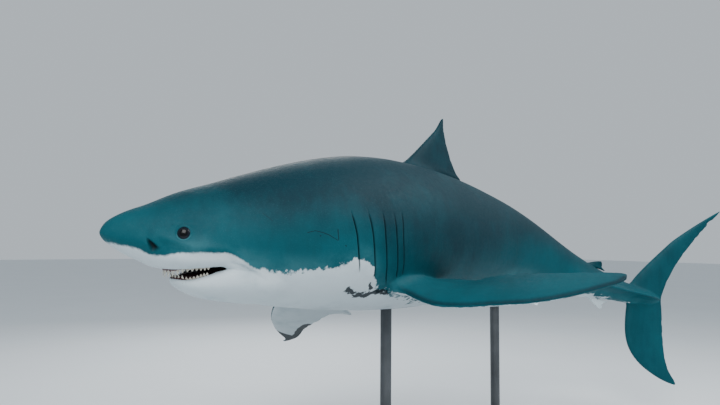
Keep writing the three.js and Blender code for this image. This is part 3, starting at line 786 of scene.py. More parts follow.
@dataclass
class Gills:
    """Five gill slits on each side, in per cent of total length."""

    stations: tuple[float, ...] = (20.5, 22.07, 23.35, 24.6, 25.4)
    top: tuple[float, ...] = (2.2, 2.3, 2.2, 2.1, 2.4)
    bottom: tuple[float, ...] = (-3.6, -4.3, -5.0, -4.9, -4.2)
    lean: tuple[float, ...] = (-0.12, -0.08, 0.03, 0.02, 0.1)
    sweep: Line = line((-5.4, 1.85), (-4, 0.85), (-3.2, 0.6), (-1.6, 0.2), (0, 0), (2.3, -0.1))
    depth: float = 0.2
    width: float = 0.065
    swell: float = 0.13
    flap_ahead: float = 0.55
    flap_behind: float = 0.12

    def shift(self, station: np.ndarray, up: np.ndarray) -> np.ndarray:
        """Tells how far back a slit lies at a height, against its station on the spine."""
        lean = np.interp(station, self.stations, self.lean)
        return self.sweep(up) + lean * np.clip(up, 0, 3)

    def relief(self, rest: np.ndarray) -> tuple[np.ndarray, np.ndarray]:
        """Works out the slits' cut and the flaps' swell.

        Args:
            rest: Rows of station, left and up.

        Returns:
            Height over the smooth skin, in per cent, and how much each point lies in a slit, where shade is
            painted, 0 to 1.
        """
        s, _, up = rest.T
        height, mask = np.zeros(len(s)), np.zeros(len(s))
        for station, top, bottom in zip(self.stations, self.top, self.bottom):
            t = (up - bottom) / (top - bottom)
            inside = smoothstep(t, -0.02, 0.12) * smoothstep(-t, -1.02, -0.85)
            gap = s - station - self.shift(np.full_like(up, station), up)
            slit = np.exp(-(gap / self.width) ** 2)
            flap = np.where(gap < 0, np.exp(gap / self.flap_ahead), np.exp(-gap / self.flap_behind))
            height += inside * (self.swell * flap - (self.depth + self.swell) * slit)
            mask = np.maximum(mask, inside * np.exp(-((gap - 0.02) / (self.width * 0.9)) ** 2))
        return height, mask


@dataclass
class Eyes:
    """The eyes: black balls sunk in low rims."""

    station: float = 6.1
    up: float = 0.0
    radius: float = 0.038
    sunk: float = 0.031
    rim: float = 0.0262
    aim: tuple[float, float] = (1.85, -0.95)
    rim_height: float = 0.0036
    rim_width: float = 0.0034
    socket_depth: float = 0.010
    socket_edge: tuple[float, float] = (0.014, 0.0235)
    orbit_depth: float = 0.003
    orbit_reach: float = 0.06
    brow_height: float = 0.0035
    brow_up: float = 0.036
    brow_reach: tuple[float, float] = (0.04, 0.012)
    # Where the painted shade in each eye socket fades out.
    socket_shade_edge: tuple[float, float] = (0.0225, 0.0262)
    # A painted highlight: the pale line along the lower rim of each socket.
    highlight_ring: float = 0.0275
    highlight_width: float = 0.0018

    def centre(self, side: Side) -> np.ndarray:
        """Gives the middle of one eyeball, just inside the skin."""
        skin = BODY.skin_place(self.station, self.up, side)
        inward = SPINE.place(self.station + self.aim[0], 0, self.up + self.aim[1]) - skin
        return skin + inward / np.linalg.norm(inward) * self.sunk

    def relief(self, places: np.ndarray) -> tuple[np.ndarray, np.ndarray]:
        """Works out the sockets and their rims.

        Args:
            places: Rows of places in metres.

        Returns:
            Height over the smooth skin, in metres, and how much each point lies in the socket by an eye,
            where shade is painted, 0 to 1.
        """
        height, mask = np.zeros(len(places)), np.zeros(len(places))
        for side in Side:
            offset = places - BODY.skin_place(self.station, self.up, side)
            away = np.linalg.norm(offset, axis=1)
            height += self.rim_height * np.exp(-((away - self.rim) / self.rim_width) ** 2)
            height -= self.socket_depth * (1 - smoothstep(away, *self.socket_edge))
            height -= self.orbit_depth * np.exp(-(away / self.orbit_reach) ** 2)
            along = offset[:, 0] / self.brow_reach[0]
            over = (offset[:, 2] - self.brow_up) / self.brow_reach[1]
            height += self.brow_height * np.exp(-over ** 2 - along ** 2) * (away < 0.1)
            mask = np.maximum(mask, 1 - smoothstep(away, *self.socket_shade_edge))
        return height, mask

    def rim_highlight(self, places: np.ndarray) -> np.ndarray:
        """Marks a painted highlight, a thin pale edge under each eye along the socket's lower rim, from 0 to
        1, for rows of places.
        """
        mark = np.zeros(len(places))
        for side in Side:
            offset = places - BODY.skin_place(self.station, self.up, side)
            ring = np.exp(-((np.linalg.norm(offset, axis=1) - self.highlight_ring) / self.highlight_width) ** 2)
            mark = np.maximum(mark, ring * smoothstep(-offset[:, 2], 0.0, 0.016))
        return mark

    def build(self, finish: "EyeFinish") -> list[bpy.types.Object]:
        """Makes both eyeballs.

        Args:
            finish: Their finish.

        Returns:
            The two pieces.
        """
        pieces = []
        for side in Side:
            centre = self.centre(side)
            bpy.ops.object.select_all(action="DESELECT")
            bpy.ops.mesh.primitive_uv_sphere_add(
                segments=48, ring_count=32, radius=self.radius, location=centre)
            ball = bpy.context.object
            ball.name = ball.data.name = f"eyeball_{side.name.lower()}"
            outward = Vector(BODY.skin_place(self.station, self.up, side) - centre)
            ball.rotation_euler = outward.to_track_quat("Z", "Y").to_euler()
            bpy.ops.object.transform_apply(location=True, rotation=True, scale=True)
            bpy.ops.object.shade_smooth()
            gaze = ball.data.attributes.new("gaze", "FLOAT", "POINT")
            flat = np.empty(len(ball.data.vertices) * 3)
            ball.data.vertices.foreach_get("co", flat)
            direction = np.array(outward.normalized())
            gaze.data.foreach_set("value", ((flat.reshape(-1, 3) - centre) @ direction) / self.radius)
            ball.data.materials.append(finish.material())
            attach(ball, "root")
            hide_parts(f"eye_{side.name.lower()}")
            pieces.append(ball)
        return pieces


@dataclass
class Nostrils:
    """Short slanted nostrils on the snout."""

    station: float = 3.7
    up: float = -1.05
    length: float = 0.05
    width: float = 0.0092
    depth: float = 0.015
    slant: float = 0.98
    wedge: float = 1.1
    edge_power: float = 3.2
    flap_height: float = 0.003
    fold_height: float = 0.002

    def relief(self, places: np.ndarray) -> tuple[np.ndarray, np.ndarray]:
        """Works out the nostrils' cut and the groove where shade is painted; see Eyes.relief."""
        height, mask = np.zeros(len(places)), np.zeros(len(places))
        for side in Side:
            away = places - BODY.skin_place(self.station, self.up, side)
            along = away[:, 0] * math.cos(self.slant) - away[:, 2] * math.sin(self.slant)
            across = away[:, 0] * math.sin(self.slant) + away[:, 2] * math.cos(self.slant)
            near = (np.abs(away[:, 1]) < 0.05) * np.exp(-(2 * along / self.length) ** 4)
            half = self.width * (1 + self.wedge * np.clip(along / self.length, -0.5, 0.5))
            groove = near * np.exp(-(np.abs(across) / half) ** self.edge_power)
            flap = near * np.exp(-((across - 1.9 * self.width) / (1.2 * self.width)) ** 2)
            fold = near * np.exp(-((across + 1.7 * self.width) / (0.8 * self.width)) ** 2)
            height += self.flap_height * flap + self.fold_height * fold - self.depth * groove
            mask = np.maximum(mask, groove)
        return height, mask


@dataclass
class MouthFolds:
    """The soft ridge over the upper lip, the lips' edges and the fold behind the mouth's corner."""

    ridge: Line = line(
        (2.8, -0.1), (4.22, -0.31), (5.25, -0.61), (6.32, -1.06), (6.9, -1.3), (9.27, -1.4), (10.14, -1.86),
        (11.21, -2.57), (12.33, -3.06), (13.5, -3.5))
    ridge_height: float = 0.13
    ridge_width: float = 0.36
    lip_drop: float = 0.75
    lip_width: float = 0.4
    fold: Line = line((9.9, -2.62), (10.8, -2.85), (11.8, -3.35), (13.2, -4.3))
    fold_depth: float = 0.13
    fold_width: float = 0.13

    def relief(self, rest: np.ndarray) -> np.ndarray:
        """Works out the folds' height over the smooth skin, in per cent, for rows of station, left and up."""
        s, left, up = rest.T
        outer = smoothstep(np.abs(left) - 0.55 * BODY.half_width(s), 0, 0.6)
        along = smoothstep(s, 3.2, 5.0) * smoothstep(-s, -13.0, -10.5)
        height = self.ridge_height * along * np.exp(-((up - self.ridge(s)) / self.ridge_width) ** 2)
        under = (up - self.ridge(s) + self.lip_drop) / self.lip_width
        height -= 0.55 * self.ridge_height * along * np.exp(-under ** 2)
        behind = smoothstep(s, 9.7, 10.5) * smoothstep(-s, -13.2, -11.9)
        gap = up - self.fold(s)
        height -= self.fold_depth * behind * np.exp(-(gap / self.fold_width) ** 2)
        height += 0.5 * self.fold_depth * behind * np.exp(-((gap - 0.32) / 0.24) ** 2)
        return height * outer


@dataclass
class Markings:
    """Where the dark back gives way to the white belly, and the darker marks, in per cent."""

    border: Line = line(
        (0, -0.8), (1.5, -1.1), (2.75, -1.4), (3.8, -1.95), (4.6, -1.95), (5.25, -1.82), (6.75, -1.75),
        (9.27, -1.72), (10.14, -2.05), (11.21, -2.65), (12.33, -3.1), (14.96, -3.42), (16.7, -3.5),
        (18.3, -3.0), (19.6, -2.65), (20.8, -2.4), (21.6, -2.6), (22.3, -3.15), (22.95, -3.8),
        (23.3, -4.6), (23.75, -5.4), (25.5, -5.9), (33, -7.2), (38, -7.2), (46, -6.3), (54, -4.7),
        (62, -3.2), (72, -2.1), (80, -1.7), (84, -1.6))
    gill_band: Line = line(
        (20.5, -5.15), (20.75, -5.24), (21.3, -5.5), (22.1, -5.95), (23.25, -5.98), (24, -5.62),
        (25.5, -5.78), (27.1, -6))
    gill_band_width: float = 0.36
    gill_spots: tuple[tuple[float, float, float], ...] = (
        (22.9, -4.7, 0.22), (23.2, -5.2, 0.3), (22.2, -4.9, 0.16))
    tip_share: float = 0.8
    band_width: float = 1.25

    def pectoral(
        self, places: np.ndarray, upward: np.ndarray, fin: Fin, share: np.ndarray,
    ) -> tuple[np.ndarray, np.ndarray]:
        """Works out a side fin's markings.

        Args:
            places: Rows of places.
            upward: How far each one's surface faces up.
            fin: The fin.
            share: How far out along the fin each place lies.

        Returns:
            The shade, with a painted shadow along the leading edge, and how much each place lies in the black
            tip and rear edge.
        """
        u = np.linspace(0, 1, 200) * fin.levels[-1]
        front, rear = fin.outline(u, False), fin.outline(u, True)
        to_rear = away_from(places, np.concatenate([rear[100:], front[186:]]), 0.08) / PER_CENT
        to_front = away_from(places, front, 0.06) / PER_CENT
        band = 1 - smoothstep(to_rear, 0.5 * self.band_width, self.band_width)
        band = band * smoothstep(share, 0.4, 0.55)
        tip = smoothstep(share, self.tip_share - 0.05, self.tip_share + 0.05)
        # Painted shadow: the dark back colour is carried round the leading edge and darkened there towards
        # the crown colour.
        leading_edge_shadow = 1 - smoothstep(to_front, 0.15, 0.6)
        return 2.6 * (upward + 0.2 + 0.5 * leading_edge_shadow) + 3.5 * leading_edge_shadow * (upward > -0.3), np.maximum(tip, band)

    def read(
        self, skin: bpy.types.Object, rest: np.ndarray, pectorals: PectoralFins,
    ) -> dict[str, np.ndarray]:
        """Works out the skin's markings.

        Args:
            skin: The finished skin.
            rest: Rows of station, left and up for its vertices.
            pectorals: The side fins.

        Returns:
            Attribute values by name.
        """
        s, _, up = rest.T
        shade = up - self.border(s)
        places, normals = vertex_places(skin), vertex_normals(skin)
        tips = np.zeros(len(s))
        for part, side in ((Part.PECTORAL_LEFT, Side.LEFT), (Part.PECTORAL_RIGHT, Side.RIGHT)):
            share = pectorals.span_share(places, side)
            upward = normals @ pectorals.root_frame(side)[3]
            on_fin = part_mask(skin, part) * smoothstep(share, 0.0, 0.1)
            fin_shade, fin_tip = self.pectoral(places, upward, pectorals.fin(side), share)
            shade = shade * (1 - on_fin) + on_fin * fin_shade
            tips = np.maximum(tips, on_fin * fin_tip)
        shade = np.where(part_mask(skin, Part.MEDIAN_FIN) * (up > 0) > 0.5, np.maximum(shade, 3), shade)
        tail = part_mask(skin, Part.CAUDAL_FIN)
        shade = shade * (1 - tail) + tail * 3.2
        under = np.exp(-((up - self.gill_band(s)) / self.gill_band_width) ** 2)
        under *= smoothstep(s, 20.3, 20.8) * smoothstep(-s, -27, -26)
        for station, height, size in self.gill_spots:
            under = np.maximum(under, np.exp(-((s - station) ** 2 + (up - height) ** 2) / size ** 2))
        under = under * (1 - part_mask(skin, Part.PECTORAL_LEFT))
        return {"shade": shade, "tip": tips, "under_gills": under}


def vertex_places(piece: bpy.types.Object) -> np.ndarray:
    """Gives a piece's vertices as rows of places in metres."""
    flat = np.empty(len(piece.data.vertices) * 3)
    piece.data.vertices.foreach_get("co", flat)
    return flat.reshape(-1, 3)


def vertex_normals(piece: bpy.types.Object) -> np.ndarray:
    """Gives a piece's vertex normals as rows."""
    flat = np.empty(len(piece.data.vertices) * 3)
    piece.data.vertex_normals.foreach_get("vector", flat)
    return flat.reshape(-1, 3)


def set_places(piece: bpy.types.Object, places: np.ndarray) -> None:
    """Moves a piece's vertices."""
    piece.data.vertices.foreach_set("co", places.ravel())
    piece.data.update()


def face_parts(piece: bpy.types.Object) -> np.ndarray:
    """Gives the part number of each face."""
    numbers = np.empty(len(piece.data.polygons), int)
    piece.data.polygons.foreach_get("material_index", numbers)
    return numbers


def loop_owners(piece: bpy.types.Object) -> tuple[np.ndarray, np.ndarray]:
    """Gives the vertex and the face of each face corner."""
    corners = np.empty(len(piece.data.loops), int)
    piece.data.loops.foreach_get("vertex_index", corners)
    totals = np.empty(len(piece.data.polygons), int)
    piece.data.polygons.foreach_get("loop_total", totals)
    return corners, np.repeat(np.arange(len(totals)), totals)


def part_mask(piece: bpy.types.Object, part: Part) -> np.ndarray:
    """Gives each vertex the share of its face corners that belong to a part."""
    corners, faces = loop_owners(piece)
    mine = (face_parts(piece)[faces] == part.value).astype(float)
    count = np.bincount(corners, minlength=len(piece.data.vertices))
    return np.bincount(corners, weights=mine, minlength=len(count)) / np.maximum(count, 1)


def write_attribute(piece: bpy.types.Object, name: str, values: np.ndarray) -> None:
    """Keeps one number, or one vector, for each vertex of a piece."""
    kind, key = ("FLOAT", "value") if values.ndim == 1 else ("FLOAT_VECTOR", "vector")
    attribute = piece.data.attributes.new(name, kind, "POINT")
    attribute.data.foreach_set(key, values.astype(np.float32).ravel())


def edit(piece: bpy.types.Object, faces: np.ndarray | None, *operators: Callable[[], object]) -> None:
    """Runs edit-mode operators on chosen faces.

    Args:
        piece: The mesh.
        faces: True for each face to select, or None for all.
        operators: The operators to run.
    """
    bpy.ops.object.select_all(action="DESELECT")
    bpy.context.view_layer.objects.active = piece
    piece.select_set(True)
    bpy.ops.object.mode_set(mode="EDIT")
    bpy.ops.mesh.select_mode(type="FACE")
    bpy.ops.mesh.select_all(action="SELECT" if faces is None else "DESELECT")
    bpy.ops.object.mode_set(mode="OBJECT")
    if faces is not None:
        piece.data.polygons.foreach_set("select", faces)
    bpy.ops.object.mode_set(mode="EDIT")
    for operator in operators:
        operator()
    bpy.ops.object.mode_set(mode="OBJECT")


def split_faces() -> None:
    """Splits the chosen faces into triangles."""
    bpy.ops.mesh.quads_convert_to_tris(quad_method="BEAUTY", ngon_method="BEAUTY")


def soften(piece: bpy.types.Object, weights: np.ndarray, rounds: int) -> None:
    """Smooths a mesh where the weights are over 0.

    Args:
        piece: The mesh.
        weights: How strongly each vertex is smoothed, 0 to 1.
        rounds: How many times.
    """
    group = piece.vertex_groups.new(name="soften")
    for step in range(1, 21):
        chosen = np.flatnonzero(np.rint(weights * 20) == step)
        if len(chosen):
            group.add(chosen.tolist(), step / 20, "REPLACE")
    bpy.context.view_layer.objects.active = piece
    smooth = piece.modifiers.new("soften", "SMOOTH")
    smooth.factor = 0.5
    smooth.iterations = rounds
    smooth.vertex_group = group.name
    bpy.ops.object.modifier_apply(modifier=smooth.name)
    piece.vertex_groups.remove(piece.vertex_groups["soften"])


def away_from(places: np.ndarray, targets: np.ndarray, reach: float) -> np.ndarray:
    """Measures how far each place is from the nearest target.

    Args:
        places: Rows of places.
        targets: Rows of targets.
        reach: Places further than this aren't measured.

    Returns:
        The distances, with the reach for the far ones.
    """
    distance = np.full(len(places), reach)
    if not len(targets):
        return distance
    low, high = targets.min(0) - reach, targets.max(0) + reach
    near = np.flatnonzero(((places > low) & (places < high)).all(1))
    for start in range(0, len(near), 2000):
        block = near[start:start + 2000]
        gap = np.sqrt(((places[block][:, None, :] - targets[None]) ** 2).sum(-1)).min(1)
        distance[block] = np.minimum(gap, reach)
    return distance


@dataclass
class Skin:
    """The one skin: head, trunk, tail stock, jaw and fins joined, smoothed and given their relief."""

    body_points: int = 112
    jaw_points: int = 88
    mouth_points: int = 64
    gills: Gills = field(default_factory=Gills)
    eyes: Eyes = field(default_factory=Eyes)
    nostrils: Nostrils = field(default_factory=Nostrils)
    folds: MouthFolds = field(default_factory=MouthFolds)
    markings: Markings = field(default_factory=Markings)
    pectorals: PectoralFins = field(default_factory=PectoralFins)
    pelvics: PelvicFins = field(default_factory=PelvicFins)
    medians: MedianFins = field(default_factory=MedianFins)
    tail: TailFin = field(default_factory=TailFin)
    nodes: tuple[str, ...] = (
        "head", "trunk_front", "trunk_middle", "trunk_rear", "tail_stock", "lower_jaw", "pectoral_fin_left",
        "pectoral_fin_right", "pelvic_fin_left", "pelvic_fin_right", "dorsal_fin", "second_dorsal_fin",
        "anal_fin", "caudal_fin_upper", "caudal_fin_lower")

    def slit_shift(self, s: np.ndarray, up: np.ndarray) -> np.ndarray:
        """Leans the rings of the gill region so that they run along the slits."""
        return self.gills.shift(s, up) * smoothstep(s, 16.5, 20) * smoothstep(-s, -30.5, -25.6)

    def body(self) -> bpy.types.Object:
        """Draws out the head, trunk and tail stock."""
        tip = np.array([0, 0.015, 0.05, 0.1, 0.16, 0.23, 0.31, 0.4, 0.5, 0.62, 0.76])
        head = spaced(0.9, 16, line((0.9, 0.16), (3, 0.2), (16, 0.2)))
        fine = np.array([-0.3, -0.2, -0.14, -0.095, -0.06, -0.03, 0, 0.03, 0.06, 0.1, 0.16, 0.24])
        slits = np.concatenate([station + fine for station in self.gills.stations])
        between = np.arange(19.4, 26.4, 0.3)
        gap = np.abs(between[:, None] - np.array(self.gills.stations)).min(1)
        gill_region = np.concatenate([slits, between[gap > 0.4]])
        neck = spaced(16.2, 19.3, line((16.2, 0.3), (19.3, 0.3)))
        rear = spaced(26.6, BODY.end, line((26.6, 0.45), (40, 0.6), (70, 0.5), (87.2, 0.25)))
        stations = np.unique(np.concatenate([tip, head, neck, gill_region, rear]))

        def section(s: np.ndarray, angle: np.ndarray) -> tuple[np.ndarray, np.ndarray]:
            """Rounds the tip of the snout."""
            blunt = s + (np.sqrt(s * s + 0.24 * s) - s) * np.exp(-s / 1.2)
            return BODY.section(blunt, angle)

        def shape(s: np.ndarray, angle: np.ndarray, pole: np.ndarray) -> np.ndarray:
            """Places each point of the ball on its section."""
            shifted = s + self.slit_shift(s, section(s, angle)[1])
            left, up = section(shifted, angle)
            centre = (section(s, np.zeros_like(s))[1] + section(s, np.full_like(s, math.pi))[1]) / 2
            return SPINE.place(shifted, np.where(pole, 0, left), np.where(pole, centre, up))

        return shaped_ball("shark_skin", self.body_points, stations, shape, Part.BODY)

    def jaw(self) -> bpy.types.Object:
        """Draws out the lower jaw."""
        stations = np.concatenate([
            JAW.front + np.array([0, 0.01, 0.03, 0.06, 0.1, 0.15, 0.21, 0.28, 0.36, 0.46, 0.58, 0.72]),
            np.arange(JAW.front + 0.9, JAW.rear, 0.2), [JAW.rear]])
        return spine_form("jaw", self.jaw_points, stations, JAW.section, Part.JAW)

    def mouth(self, name: str, lines: MouthLines) -> bpy.types.Object:
        """Draws out one of the two hollows of the mouth."""
        stations = lines.front + (lines.rear - lines.front) * np.linspace(0, 1, 44) ** 1.5
        return spine_form(name, self.mouth_points, stations, lines.section, Part.MOUTH)

    def join_parts(self) -> bpy.types.Object:
        """Joins all the forms into one closed mesh."""
        skin = self.body()
        combine(skin, self.jaw(), "UNION")
        combine(skin, self.mouth("palate_hollow", PALATE_HOLLOW), "DIFFERENCE")
        combine(skin, self.mouth("jaw_hollow", JAW_HOLLOW), "DIFFERENCE")
        LOG.info("mouth opened")
        fins = [self.pectorals.fin(side) for side in Side] + [self.pelvics.fin(side) for side in Side]
        for fin in fins + self.medians.fins() + [self.tail.fin()]:
            combine(skin, fin.build(), "UNION")
            LOG.info("joined %s", fin.name)
        return skin

    def tidy(self, skin: bpy.types.Object) -> None:
        """Splits many-sided faces and takes out slivers."""
        totals = np.empty(len(skin.data.polygons), int)
        skin.data.polygons.foreach_get("loop_total", totals)
        edit(skin, totals > 4, split_faces)
        edit(
            skin, None, lambda: bpy.ops.mesh.remove_doubles(threshold=0.0007),
            lambda: bpy.ops.mesh.dissolve_degenerate(threshold=0.0005))

    def refine(self, skin: bpy.types.Object) -> None:
        """Divides the faces more finely by the mouth, the eyes and the nostrils."""
        for level in range(2):
            centres = np.empty(len(skin.data.polygons) * 3)
            skin.data.polygons.foreach_get("center", centres)
            centres = centres.reshape(-1, 3)
            chosen = np.zeros(len(centres), bool)
            for side in Side:
                eye = BODY.skin_place(self.eyes.station, self.eyes.up, side)
                nostril = BODY.skin_place(self.nostrils.station, self.nostrils.up, side)
                chosen |= np.linalg.norm(centres - eye, axis=1) < (0.06, 0.042)[level]
                chosen |= np.linalg.norm(centres - nostril, axis=1) < (0.05, 0.034)[level]
            if level == 0:
                s, left, up = SPINE.unplace(centres[centres[:, 0] < SNOUT[0] + 0.75]).T
                edge = np.abs(up - np.maximum(JAW.top(s), BODY.palate(s, left)))
                lips = (s > 5.2) & (s < 13.4) & (edge < 0.75) & (np.abs(left) > 0.45 * BODY.half_width(s))
                near = np.zeros(len(centres), bool)
                near[centres[:, 0] < SNOUT[0] + 0.75] = lips
                chosen |= near
            edit(skin, chosen, lambda: bpy.ops.mesh.subdivide(number_cuts=1, smoothness=0))
            self.tidy(skin)

    def soften_seams(self, skin: bpy.types.Object) -> None:
        """Smooths the joins of the forms, so that no seam shows."""
        places = vertex_places(skin)
        rest = SPINE.unplace(places)
        body = part_mask(skin, Part.BODY)
        reach = {
            Part.PECTORAL_LEFT: 0.055, Part.PECTORAL_RIGHT: 0.055, Part.PELVIC: 0.03, Part.MEDIAN_FIN: 0.035,
            Part.CAUDAL_FIN: 0.05}
        weights = np.zeros(len(places))
        for part, radius in reach.items():
            seam = (part_mask(skin, part) > 0) & (body > 0)
            away = away_from(places, places[seam], radius)
            weights = np.maximum(weights, 1 - smoothstep(away, 0.3 * radius, radius))
        throat = (part_mask(skin, Part.JAW) > 0) & (body > 0) & (rest[:, 0] > 11.2)
        away = away_from(places, places[throat], 0.07)
        weights = np.maximum(weights, 1 - smoothstep(away, 0.02, 0.07))
        soften(skin, weights, 24)
        s = rest[:, 0]
        head = 0.5 * smoothstep(-s, -13.5, -12.5) + 0.5 * smoothstep(-s, -0.8, -0.4)
        soften(skin, head, 3)

    def emboss(self, skin: bpy.types.Object) -> dict[str, np.ndarray]:
        """Presses the sockets, nostrils, folds and gill slits into the skin.

        Args:
            skin: The smooth skin, which is changed.

        Returns:
            The masks of painted shade in the gill slits, the nostrils and the eye sockets, and of a painted
            highlight under the eyes.
        """
        places, normals = vertex_places(skin), vertex_normals(skin)
        rest = SPINE.unplace(places)
        body = part_mask(skin, Part.BODY)
        gill_height, gill_shade_mask = self.gills.relief(rest)
        eye_height, socket_shade_mask = self.eyes.relief(places)
        nostril_height, nostril_shade_mask = self.nostrils.relief(places)
        head = smoothstep(body + part_mask(skin, Part.JAW), 0.2, 0.8)
        height = (gill_height + self.folds.relief(rest)) * PER_CENT + eye_height + nostril_height
        set_places(skin, places + normals * (height * head)[:, None])
        # Masks: painted shade in the gill slits, the nostrils and the eye sockets, and a painted highlight
        # along the lower rim of each socket.
        return {
            "slit": np.maximum(gill_shade_mask, nostril_shade_mask) * head, "socket_shade": socket_shade_mask,
            "pale": self.eyes.rim_highlight(places)}

    def build(self, finish: "SkinFinish") -> bpy.types.Object:
        """Makes the skin.

        Args:
            finish: Its finish.

        Returns:
            The finished piece.
        """
        skin = self.join_parts()
        self.tidy(skin)
        self.refine(skin)
        self.soften_seams(skin)
        masks = self.emboss(skin)
        edit(
            skin, None, split_faces, lambda: bpy.ops.mesh.normals_make_consistent(inside=False))
        places = vertex_places(skin)
        rest = SPINE.unplace(places)
        masks |= self.markings.read(skin, rest, self.pectorals)
        masks["mouth"] = part_mask(skin, Part.MOUTH)
        for name, values in masks.items():
            write_attribute(skin, name, values)
        write_attribute(skin, "rest", rest * PER_CENT)
        skin.data.polygons.foreach_set("material_index", np.zeros(len(skin.data.polygons), int))
        skin.data.materials.clear()
        skin.data.materials.append(finish.material())
        bpy.ops.object.select_all(action="DESELECT")
        bpy.context.view_layer.objects.active = skin
        skin.select_set(True)
        bpy.ops.object.shade_smooth()
        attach(skin, "root")
        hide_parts(*self.nodes)
        return skin


@dataclass
class Teeth:
    """Saw-edged triangular teeth and the gums that hold them, in metres and in per cent along the jaws."""

    per_side: int = 11
    upper_height: float = 0.035
    lower_height: float = 0.028
    width: float = 0.02
    fill: float = 0.97
    thickness: float = 0.006
    upper_reach: float = 3.75
    lower_reach: float = 3.35
    rear: float = 8.6
    upper_front: float = 5.6
    lower_front: float = 6.35
    sunk: float = 0.04
    rooted: float = 0.016
    serrations: int = 11

    def row_place(self, across: float, side: Side, upper: bool) -> tuple[float, float, float]:
        """Finds the foot of a tooth.

        Args:
            across: From 0 at the front of the jaw to 1 at the last tooth.
            side: Which side of the mouth.
            upper: Whether it is in the upper jaw.

        Returns:
            Its station, left and up, in per cent.
        """
        s, left, level = self.arch(np.array(across), upper)
        return float(s), side.value * float(left), float(level)

    def pitch(self, upper: bool) -> tuple[np.ndarray, np.ndarray]:
        """Spaces the teeth of one side, closer towards the mouth's corner.

        Returns:
            How far along the jaw each tooth stands, from 0 to 1, and its breadth in metres.
        """
        across = np.linspace(0, 1, 400)
        s, left, _ = self.arch(across, upper)
        run = np.concatenate([[0], np.cumsum(np.hypot(np.diff(s), np.diff(left)))]) * PER_CENT
        shares = np.linspace(1, 0.5, self.per_side)
        ends = np.concatenate([[0], np.cumsum(shares)]) / shares.sum() * run[-1]
        return np.interp((ends[1:] + ends[:-1]) / 2, run, across), np.diff(ends)

    def arch(self, across: np.ndarray, upper: bool) -> tuple[np.ndarray, np.ndarray, np.ndarray]:
        """Gives the station, the offset to the left and the height of the gum along one side of a jaw."""
        front, reach = (self.upper_front, self.upper_reach) if upper else (self.lower_front, self.lower_reach)
        s, left = front + (self.rear - front) * across ** 2, reach * across
        level = BODY.palate(s, left) + self.sunk if upper else JAW.top(s) - self.sunk
        return s, left, level

    def model(self, name: str, height: float, width: float, slender: float) -> bpy.types.Object:
        """Makes one tooth, standing up from the origin, its broad face to the front.

        Args:
            name: Its name.
            height: How far it stands out of the gum.
            width: Its breadth at the gum.
            slender: How fast it narrows; over 1 gives a spike on a broad foot.

        Returns:
            The tooth.
        """

        def shape(t: np.ndarray, angle: np.ndarray, pole: np.ndarray) -> np.ndarray:
            """Places each point of the ball on the blade."""
            z = -self.rooted + t * (height + self.rooted)
            share = np.clip(z / height, 0, 1)
            half = width / 2 * ((1 - share) ** slender * 0.97 + 0.03)
            half = half * (1 - 0.25 * smoothstep(-z, 0, self.rooted))
            saw = 1 + 0.05 * np.cos(t * self.serrations * TWO_PI) * np.abs(np.cos(angle)) ** 6
            thick = self.thickness / 2 * (1 - 0.8 * share ** 1.3)
            x = np.cos(angle) * half * saw
            y = np.sin(angle) * thick - 0.0025 * share ** 2
            return np.stack([np.where(pole, 0, x), np.where(pole, -0.0025 * share ** 2, y), z], axis=-1)

        return shaped_ball(name, 20, np.linspace(0, 1, 2 * self.serrations + 1), shape, Part.BODY)

    def row(self, upper: bool, finish: "ToothFinish") -> bpy.types.Object:
        """Sets the teeth of one jaw.

        Args:
            upper: Whether it is the upper jaw.
            finish: Their finish.

        Returns:
            All its teeth as one piece.
        """
        name = "teeth_upper" if upper else "teeth_lower"
        height = self.upper_height if upper else self.lower_height
        model = self.model(name + "_model", height, self.width, 0.85 if upper else 1.25)
        copies = []
        for side in Side:
            for number, (across, breadth) in enumerate(zip(*self.pitch(upper))):
                foot = SPINE.place(*self.row_place(across, side, upper))
                ahead = SPINE.place(*self.row_place(across - 0.02, side, upper))
                behind = SPINE.place(*self.row_place(across + 0.02, side, upper))
                along = Vector(behind - ahead).normalized() * side.value
                _, _, up = SPINE.axes(np.array(self.row_place(across, side, upper)[0]))
                stand = Vector(-up if upper else up)
                outward = along.cross(stand) * (-1 if upper else 1)
                lean = outward * (-0.3 if upper else -0.42)
                tooth = model.copy()
                tooth.data = model.data.copy()
                bpy.context.scene.collection.objects.link(tooth)
                axis_z = (stand - lean * 0.5).normalized()
                axis_x = (along - axis_z * along.dot(axis_z)).normalized()
                axis_y = axis_z.cross(axis_x)
                size = 1 - 0.66 * smoothstep(across, 0.2, 0.75)
                size = size * (1 + 0.06 * math.sin(number * 2.3 + side.value))
                wide = self.fill * breadth / self.width
                turn = Matrix((axis_x * wide, axis_y * size, axis_z * size)).transposed()
                tooth.data.transform(Matrix.Translation(Vector(foot)) @ turn.to_4x4())
                copies.append(tooth)
        bpy.data.objects.remove(model, do_unlink=True)
        teeth = join(copies, name)
        teeth.data.materials.clear()
        teeth.data.materials.append(finish.material())
        edit(teeth, None, lambda: bpy.ops.mesh.normals_make_consistent(inside=False))
        bpy.ops.object.shade_smooth_by_angle(angle=math.radians(35))
        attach(teeth, "root")
        return teeth

    def gum(self, upper: bool, finish: "GumFinish") -> bpy.types.Object:
        """Makes the gum of one jaw, swelling between the teeth."""
        name = "gum_upper" if upper else "gum_lower"

